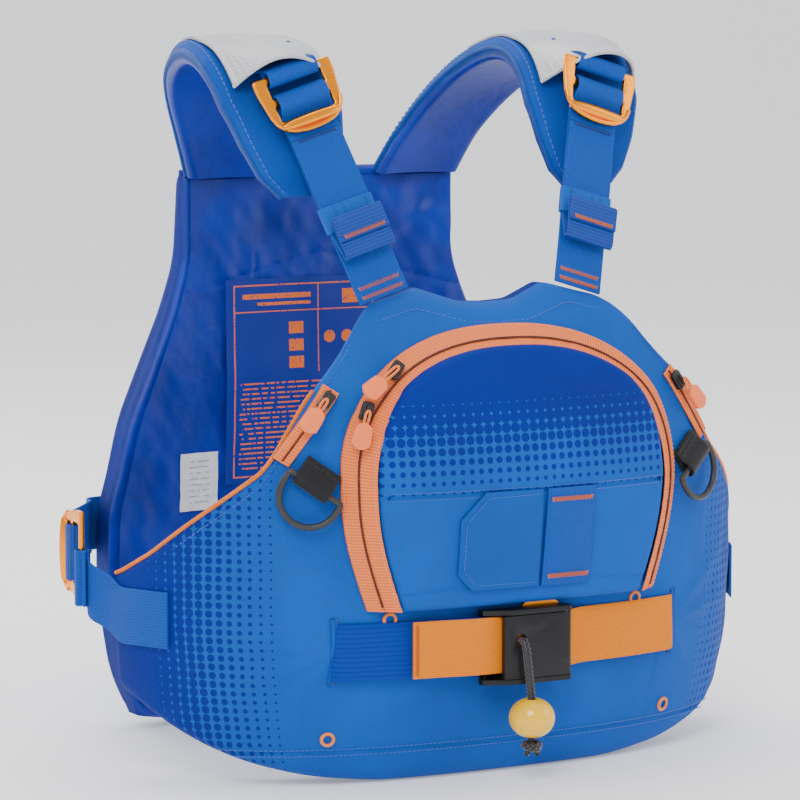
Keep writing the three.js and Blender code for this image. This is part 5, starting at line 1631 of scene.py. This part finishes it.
def lash_patch():
    left, right, low, high = -0.056, 0.005, LASH_LOW, LASH_HIGH
    z, share = np.meshgrid(edged(low, high, 36, 0.0012), np.linspace(0, 1, 34), indexing="ij")
    cut = np.maximum(0, HIGH_CUT - (high - z)) + np.maximum(0, LOW_CUT - (z - low))
    start = left + cut
    x = start + (right - start) * share
    near = np.minimum(np.minimum(z - low, high - z), np.minimum(share, 1 - share) * 0.06)
    fall = edge_fall(near, np.full(near.shape, 1.0), 0.0009)
    wave = 0.0003 * ripples(x, z, 0.03, 71)
    patch = Sewing()
    sewn_panel(patch, panel_face(x, z, 0.0028 - fall + wave), panel_face(x, z, 0.0006),
               place3(x, z, 0), 0, 0, 0, 2)
    patch.make("lash_patch_cloth", "pocket_panel", "cover_fabric", [PATCH_CLOTH], ["lash_patch"])
    thread = Sewing()
    inset = 0.0032
    corners = [(right, low), (left + LOW_CUT, low), (left, low + LOW_CUT), (left, high - HIGH_CUT),
               (left + HIGH_CUT, high), (right, high)]
    middle = np.array([-0.024, 0.164])
    loop = [np.array(c) + unit(middle - np.array(c)) * inset * 1.35 for c in corners]
    for a, b in zip(loop, loop[1:]):
        line = a + (b - a) * np.linspace(0, 1, 60)[:, None]
        path = panel_face(line[:, 0], line[:, 1], 0.0030)
        stitches(thread, path, front_normal(line[:, 0], line[:, 1]), 0.0030, 0.0022, 0.00028)
    thread.make("lash_patch_stitching", "pocket_panel", "cover_fabric", [THREAD_BLUE])

    middle_x, half = 0.0265, WEBBING / 2
    z, share = np.meshgrid(edged(low, high, 44, 0.0008), np.linspace(-1, 1, 22), indexing="ij")
    x = middle_x + share * half + (z - 0.164) * 0.02
    fall = edge_fall((1 - np.abs(share)) * half, np.full(z.shape, 1.0), 0.0008)
    wave = 0.0010 * np.sin((z - low) / (high - low) * math.pi) * (1 - share**2) * 0.6
    strip = Sewing()
    sewn_panel(strip, panel_face(x, z, 0.0030 - fall + wave), panel_face(x, z, 0.0006),
               place3(share * half, z, 0), 0, 0, 0, 2)
    strip.make("lash_webbing_strip", "pocket_panel", "webbing_blue", [BLUE_WEB], ["lash_webbing"])
    tacks = Sewing()
    for spot_z in (high - 0.0075, low + 0.0065):
        spot = panel_face(middle_x, spot_z, 0.0034)
        normal = front_normal(middle_x, spot_z)
        right_spot = panel_face(middle_x + 0.01, spot_z, 0.0034)
        along_x = unit(right_spot - panel_face(middle_x - 0.01, spot_z, 0.0034))
        bar_tack(tacks, spot + normal * 0.0004, along_x, np.cross(normal, along_x), 0.032, 0.0030)
    tacks.make("lash_webbing_bar_tacks", "pocket_panel", "webbing_orange", [THREAD_ORANGE])


lash_patch()


# ---- Zips: sliders and pulls ----
SIDE_ZIP_TOP, SIDE_ZIP_FOOT = (0.130, 0.266), (0.164, 0.219)
SIDE_TAPE_WIDTH, SIDE_TAPE_LENGTH = 0.011, 0.058


def side_zip_tape(name, side):
    """The straight zip beside the pocket."""
    start, end = np.array(SIDE_ZIP_TOP), np.array(SIDE_ZIP_FOOT)
    ahead = unit(end - start)
    across = np.array([-ahead[1], ahead[0]])
    s, w = np.meshgrid(np.linspace(0, 1, 60), np.linspace(-0.5, 0.5, 15))
    flat = start + (end - start) * s[..., None] + across * (w * SIDE_TAPE_WIDTH)[..., None]
    to_edge, to_end = (0.5 - np.abs(w)) * SIDE_TAPE_WIDTH, np.minimum(s, 1 - s) * SIDE_TAPE_LENGTH
    fall = edge_fall(to_edge, to_end, 0.0006)
    dip = 0.0004 * groove(w, 0.07)
    mirror = np.array([side, 1, 1])
    tape = Sewing()
    top = front(flat[..., 0], flat[..., 1], 0.0021 - fall - dip) * mirror
    under = front(flat[..., 0], flat[..., 1], 0.0005) * mirror
    sewn_panel(tape, top, under, place3(w * SIDE_TAPE_WIDTH, s * SIDE_TAPE_LENGTH, 0), 0, 0, 0, 2)
    line = start + (end - start) * np.linspace(0.02, 0.98, 60)[:, None]
    tube(tape, front(line[:, 0], line[:, 1], 0.0021) * mirror, 0.0007, 8, part=1)
    tape.make(name + "_side_zip_ribbon", "torso", "zip_orange", [ZIP_TAPE, COIL], [name + "_side_zip_tape"])
    thread = Sewing()
    for w_at in (-0.40, 0.40):
        line = start + (end - start) * np.linspace(0.02, 0.98, 90)[:, None] + across * w_at * SIDE_TAPE_WIDTH
        normal = front_normal(line[:, 0], line[:, 1]) * mirror
        stitches(thread, front(line[:, 0], line[:, 1], 0.0020) * mirror, normal, 0.003, 0.0021, 0.00028)
    thread.make(name + "_side_zip_stitching", "torso", "zip_orange", [ZIP_THREAD])


for zip_side, zip_sign in (("left", -1), ("right", 1)):
    side_zip_tape(zip_side, zip_sign)
for zip_name in ("left_side_zip", "right_side_zip", "pocket_upper_zip", "pocket_lower_zip"):
    dressed(zip_name + "_slider", zip_name + "_slider", SLIDER_METAL, 0.0007, 3)


def zip_pull(node, body, up_point, down_point, normal):
    """A thin cord loop through the slider's lug, moulded into a flat ridged rubber grip."""
    hang = unit(down_point - up_point)
    across = unit(np.cross(normal, hang))
    total = float(np.linalg.norm(down_point - up_point))
    grip_length, grip_half, grip_thick = 0.0180, 0.0066, 0.0046
    start = total - grip_length
    loop = Sewing()
    for sign in (-1, 1):
        line = [up_point + hang * -0.0004, up_point + hang * 0.0010 + across * 0.0011 * sign,
                up_point + hang * (start * 0.5) + across * 0.0014 * sign,
                up_point + hang * (start + 0.003) + across * 0.0009 * sign]
        tube(loop, smooth_path(line, 24), 0.0009, 8, hint=normal)
    loop.make(node + "_cord", body, "pull_orange", [PULL_CORD])
    grip = Sewing()
    rows = np.linspace(0, 1, 44)
    taper = np.clip(rows / 0.16, 0, 1) ** 0.5 * np.clip((1 - rows) / 0.20, 0, 1) ** 0.5
    width = grip_half * (0.80 + 0.20 * np.sin(np.clip(rows * 1.2, 0, 1) * math.pi * 0.5)) * taper
    ridges = 0.00022 * np.sin(rows * math.tau * 7) * ((rows > 0.25) & (rows < 0.85))
    turn = np.linspace(0, math.tau, 40, endpoint=False)
    flat_u = np.sign(np.cos(turn)) * np.abs(np.cos(turn)) ** 0.7
    flat_v = np.sign(np.sin(turn)) * np.abs(np.sin(turn)) ** 0.6
    thick = grip_thick / 2 * (0.55 + 0.45 * taper)
    rings = [up_point + hang * (start + grip_length * r) + across * (flat_u * w)[:, None]
             + normal * (flat_v * (h + g * np.abs(np.sin(turn)) ** 3))[:, None]
             for r, w, h, g in zip(rows, np.maximum(width, 0.0006), thick, ridges)]
    rings = np.array(rings)
    numbers = grip.grid(rings, place3(turn[None, :], rows[:, None] * grip_length, 0), 0, wrap_columns=True)
    grip.cap(numbers[0])
    grip.cap(numbers[-1])
    grip.make(node + "_grip", body, "pull_orange", [PULL_RUBBER], [node])


PULL_LIFT = 0.008
ZIP_STANDOFF = 0.00225
POCKET_ZIP_PROUD = TAPE_THICK + 0.0005 + TAPE_RISE / 2 + ZIP_STANDOFF


def all_pulls():
    """Each pull hangs from its slider's lug, in the direction that gravity and the slope give it."""
    pulls = []
    for name, t, hangs, cord_length in (("pocket_upper_zip", -0.3, (-0.8, 0, -0.6), 0.015),
                                        ("pocket_lower_zip", -0.425, (-0.3, 0, -0.95), 0.009)):
        at = pocket_edge(t, TAPE / 2 - 0.001, POCKET_ZIP_PROUD)
        pulls.append((name, np.array(at), hangs, cord_length, 1))
    start, end = np.array(SIDE_ZIP_TOP), np.array(SIDE_ZIP_FOOT)
    for name, sign in (("left_side_zip", -1), ("right_side_zip", 1)):
        spot = start + (end - start) * 0.16
        at = front(spot[0], spot[1], 0.0028) * np.array([sign, 1, 1])
        pulls.append((name, at, (0.62 * sign, 0, -0.78), 0.009, sign))
    for name, at, hangs, cord_length, sign in pulls:
        normal = front_normal(at[0], at[2])
        hinge = at + normal * PULL_LIFT
        hang = np.array(hangs, float)
        hang = unit(hang - normal * (hang @ normal))
        zip_pull(name + "_pull", name + "_pull", hinge, hinge + hang * (cord_length + 0.017), normal)


all_pulls()


# ---- Belt, buckle and tri-glide ----
BELT_TACK_X = -0.0795  # the row of thread by the orange webbing's end


def belt_at(x, proud):
    """A point over the belt's line: it lies on the front along its upper edge."""
    spot = front(x, BELT_TOP, proud)
    spot[..., 2] = BELT_Z
    return spot


def belt():
    end = SLOT_AT - 0.002
    buried = [(end + 0.003, 0.0004), (end + 0.0055, -0.0016)]
    blue_lie = [(-x, proud) for x, proud in buried[::-1]]
    blue_lie += [
        (-end, 0.0016), (-end * 0.8, 0.0016), (-end * 0.6, 0.0016), (-0.048, 0.0016), (-0.032, 0.0014),
        (-0.026, 0.0017), (-0.0238, 0.0046), (-0.026, 0.0076), (-0.034, 0.0076), (-0.046, 0.0048),
        (-0.062, 0.0040),
    ]
    strap = Sewing()
    route = np.array([belt_at(x, proud) for x, proud in blue_lie])
    webbing(strap, route, (0, 0, 1), step=0.0015)
    strap.make("belt_blue_webbing", "torso", "webbing_blue", [BELT_WEB], ["belt_blue"])
    orange_lie = [(-0.082, 0.0068), (-0.072, 0.0070), (-0.062, 0.0074), (-0.040, 0.0104), (-0.020, 0.0106),
                  (0.014, 0.0106), (0.026, 0.0084), (0.036, 0.0072), (0.048, 0.0022), (end * 0.6, 0.0017),
                  (end * 0.8, 0.0016), (end, 0.0016)] + buried
    strap = Sewing()
    route = np.array([belt_at(x, proud) for x, proud in orange_lie])
    webbing(strap, route, (0, 0, 1), step=0.002)
    strap.make("belt_orange_webbing", "torso", "webbing_orange", [ORANGE_WEB], ["belt_orange"])
    thread = Sewing()
    sideways = unit(np.cross((0, 0, 1), front_normal(BELT_TACK_X, BELT_Z)))
    bar_tack(thread, belt_at(BELT_TACK_X, 0.0080), (0, 0, 1), sideways, 0.034, 0.0022)
    belt_thread = thread_finish("thread_belt", (0.85, 0.17, 0.01))
    thread.make("belt_end_stitching", "torso", "webbing_orange", [belt_thread])


belt()
dressed("buckle_frame", "torso", BLACK_PLASTIC, 0.0009, 3)
dressed("buckle_lever", "buckle_lever", BLACK_PLASTIC, 0.0008, 3)
dressed("buckle_pin", "torso", PIN_METAL, 0.0004, 3)


GLIDE_RIM = 0.005


def tri_glide():
    """The thin gold plate under the buckle, whose rounded tab shows above it."""
    low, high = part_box("triglide")
    top, foot = 0.0282 + BUCKLE_Z, BUCKLE_Z - 0.0264
    outline = rounded_corners([(low.x, top, 0.006), (low.x, foot, 0.004),
                               (high.x, foot, 0.004), (high.x, top, 0.006)])
    left, right = low.x + GLIDE_RIM, high.x - GLIDE_RIM
    above, below = BUCKLE_Z + 0.020, BUCKLE_Z - 0.020
    window = rounded_corners([(left, above, 0.001), (left, below, 0.001),
                              (right, below, 0.001), (right, above, 0.001)])
    middle = (low.y + high.y) / 2
    glide = Sewing()
    points, faces = stamped_plate([outline, window], 0.0013, 0.0005, lambda x, z, lift: (x, middle - lift, z))
    glide.add(points, points * 0, faces)
    glide.make("gold_tri_glide", "torso", "anodised_gold", [GOLD_METAL], ["triglide"], sharp=50)


tri_glide()


# ---- The toggle: doubled cord, ball and knot ----
LEVER_FACE = -0.168803
CORD_ROUTE = [(x, LEVER_FACE - out, z) for x, out, z in (
    (-0.008, 0, 0.096), (-0.008, 0.0028, 0.0956), (-0.0077, 0.0060, 0.0905), (-0.0066, 0.0060, 0.082),
    (-0.0052, 0.0057, 0.072), (-0.0038, 0.0054, 0.062), (-0.003, 0.0054, 0.050), (-0.003, 0.0054, 0.0293),
)]
BALL_AT = (-0.003, LEVER_FACE - 0.0054, 0.044)
STRAND_APART = 0.00138  # each strand from the cord's middle


def toggle():
    path = smooth_path(CORD_ROUTE, 90)
    _, side, up = frames(path, (1, 0, 0))
    strands = Sewing()
    share = np.linspace(0, 1, 90)[:, None]
    twist = 0.5 * np.sin(share * math.pi * 1.5)
    for sign in (-1, 1):
        line = path + sign * STRAND_APART * (np.cos(twist) * side + np.sin(twist) * up)
        tube(strands, line, 0.00140, 14, hint=(0, 1, 0))
    cord = strands.make("toggle_braided_cord", "toggle", "cord_black", [BRAID], ["toggle_cord"])

    ball = Sewing()
    half_wide, half_tall, bore = 0.0155, 0.0135, 0.0034
    mouth = math.asin(bore / half_wide)
    angles = np.linspace(mouth + 0.10, math.pi - mouth - 0.10, 60)
    profile = [(half_wide * math.sin(a) ** 0.92, half_tall * math.cos(a)) for a in angles]
    top_r, top_z = profile[0]
    lip = [(bore + (top_r - bore) * (1 - math.sin(a)), top_z - 0.0009 * (1 - math.cos(a))) for a in
           np.linspace(0, math.pi / 2, 6)[1:]]
    closed = profile + [(r, -z) for r, z in lip] + [(bore, 0.0)] + lip[::-1]
    turn = np.linspace(0, math.tau, 64, endpoint=False)
    x, y, height = BALL_AT
    rings = np.array([[(x + r * math.cos(a), y + r * math.sin(a), height + z) for a in turn]
                      for r, z in closed])
    ball.grid(rings, place3(turn[None, :], np.linspace(0, 1, len(closed))[:, None], 0), wrap_rows=True,
              wrap_columns=True)
    ball_piece = ball.make("toggle_yellow_ball", "toggle", "yellow_plastic", [BALL_PLASTIC], ["toggle_ball"])

    knot = Sewing()
    low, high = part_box("toggle_knot")
    centre = np.array((low + high) / 2) + np.array([0, 0, 0.0015])
    reach = np.array(high - low) / 2
    turns = np.linspace(0, math.tau, 80, endpoint=False)
    for tilt, grow in ((0.35, 1.0), (-0.5, 0.86)):
        ring = centre + np.stack([np.cos(turns) * (reach[0] - 0.0016) * grow,
                                  np.sin(turns) * (reach[1] - 0.0016) * grow,
                                  np.sin(turns + tilt) * 0.0009 + tilt * 0.0016], -1)
        tube(knot, ring, 0.0021, 12, hint=(0, 0, 1), closed=True)
    for sign in (-1, 1):
        end = [centre + np.array([out * sign, forward, up]) for out, forward, up in (
            (0.0004, 0, 0.0016), (0.0014, 0.0003, -0.0006), (0.0030, -0.0002, -0.0032), (0.0044, 0, -0.0060),
        )]
        line = smooth_path(end, 20)
        radius = 0.00175 + 0.0004 * np.clip(np.linspace(-2, 1, 20), 0, 1)
        tube(knot, line, radius, 12, hint=(0, 1, 0))
    knot_piece = knot.make("toggle_cord_knot", "toggle", "cord_black", [BRAID], ["toggle_knot"])


toggle()
for side_name in ("front_foam", "back_foam"):
    foam = frame["nodes"][side_name]
    foam.data.materials.clear()
    foam.data.materials.append(FOAM)
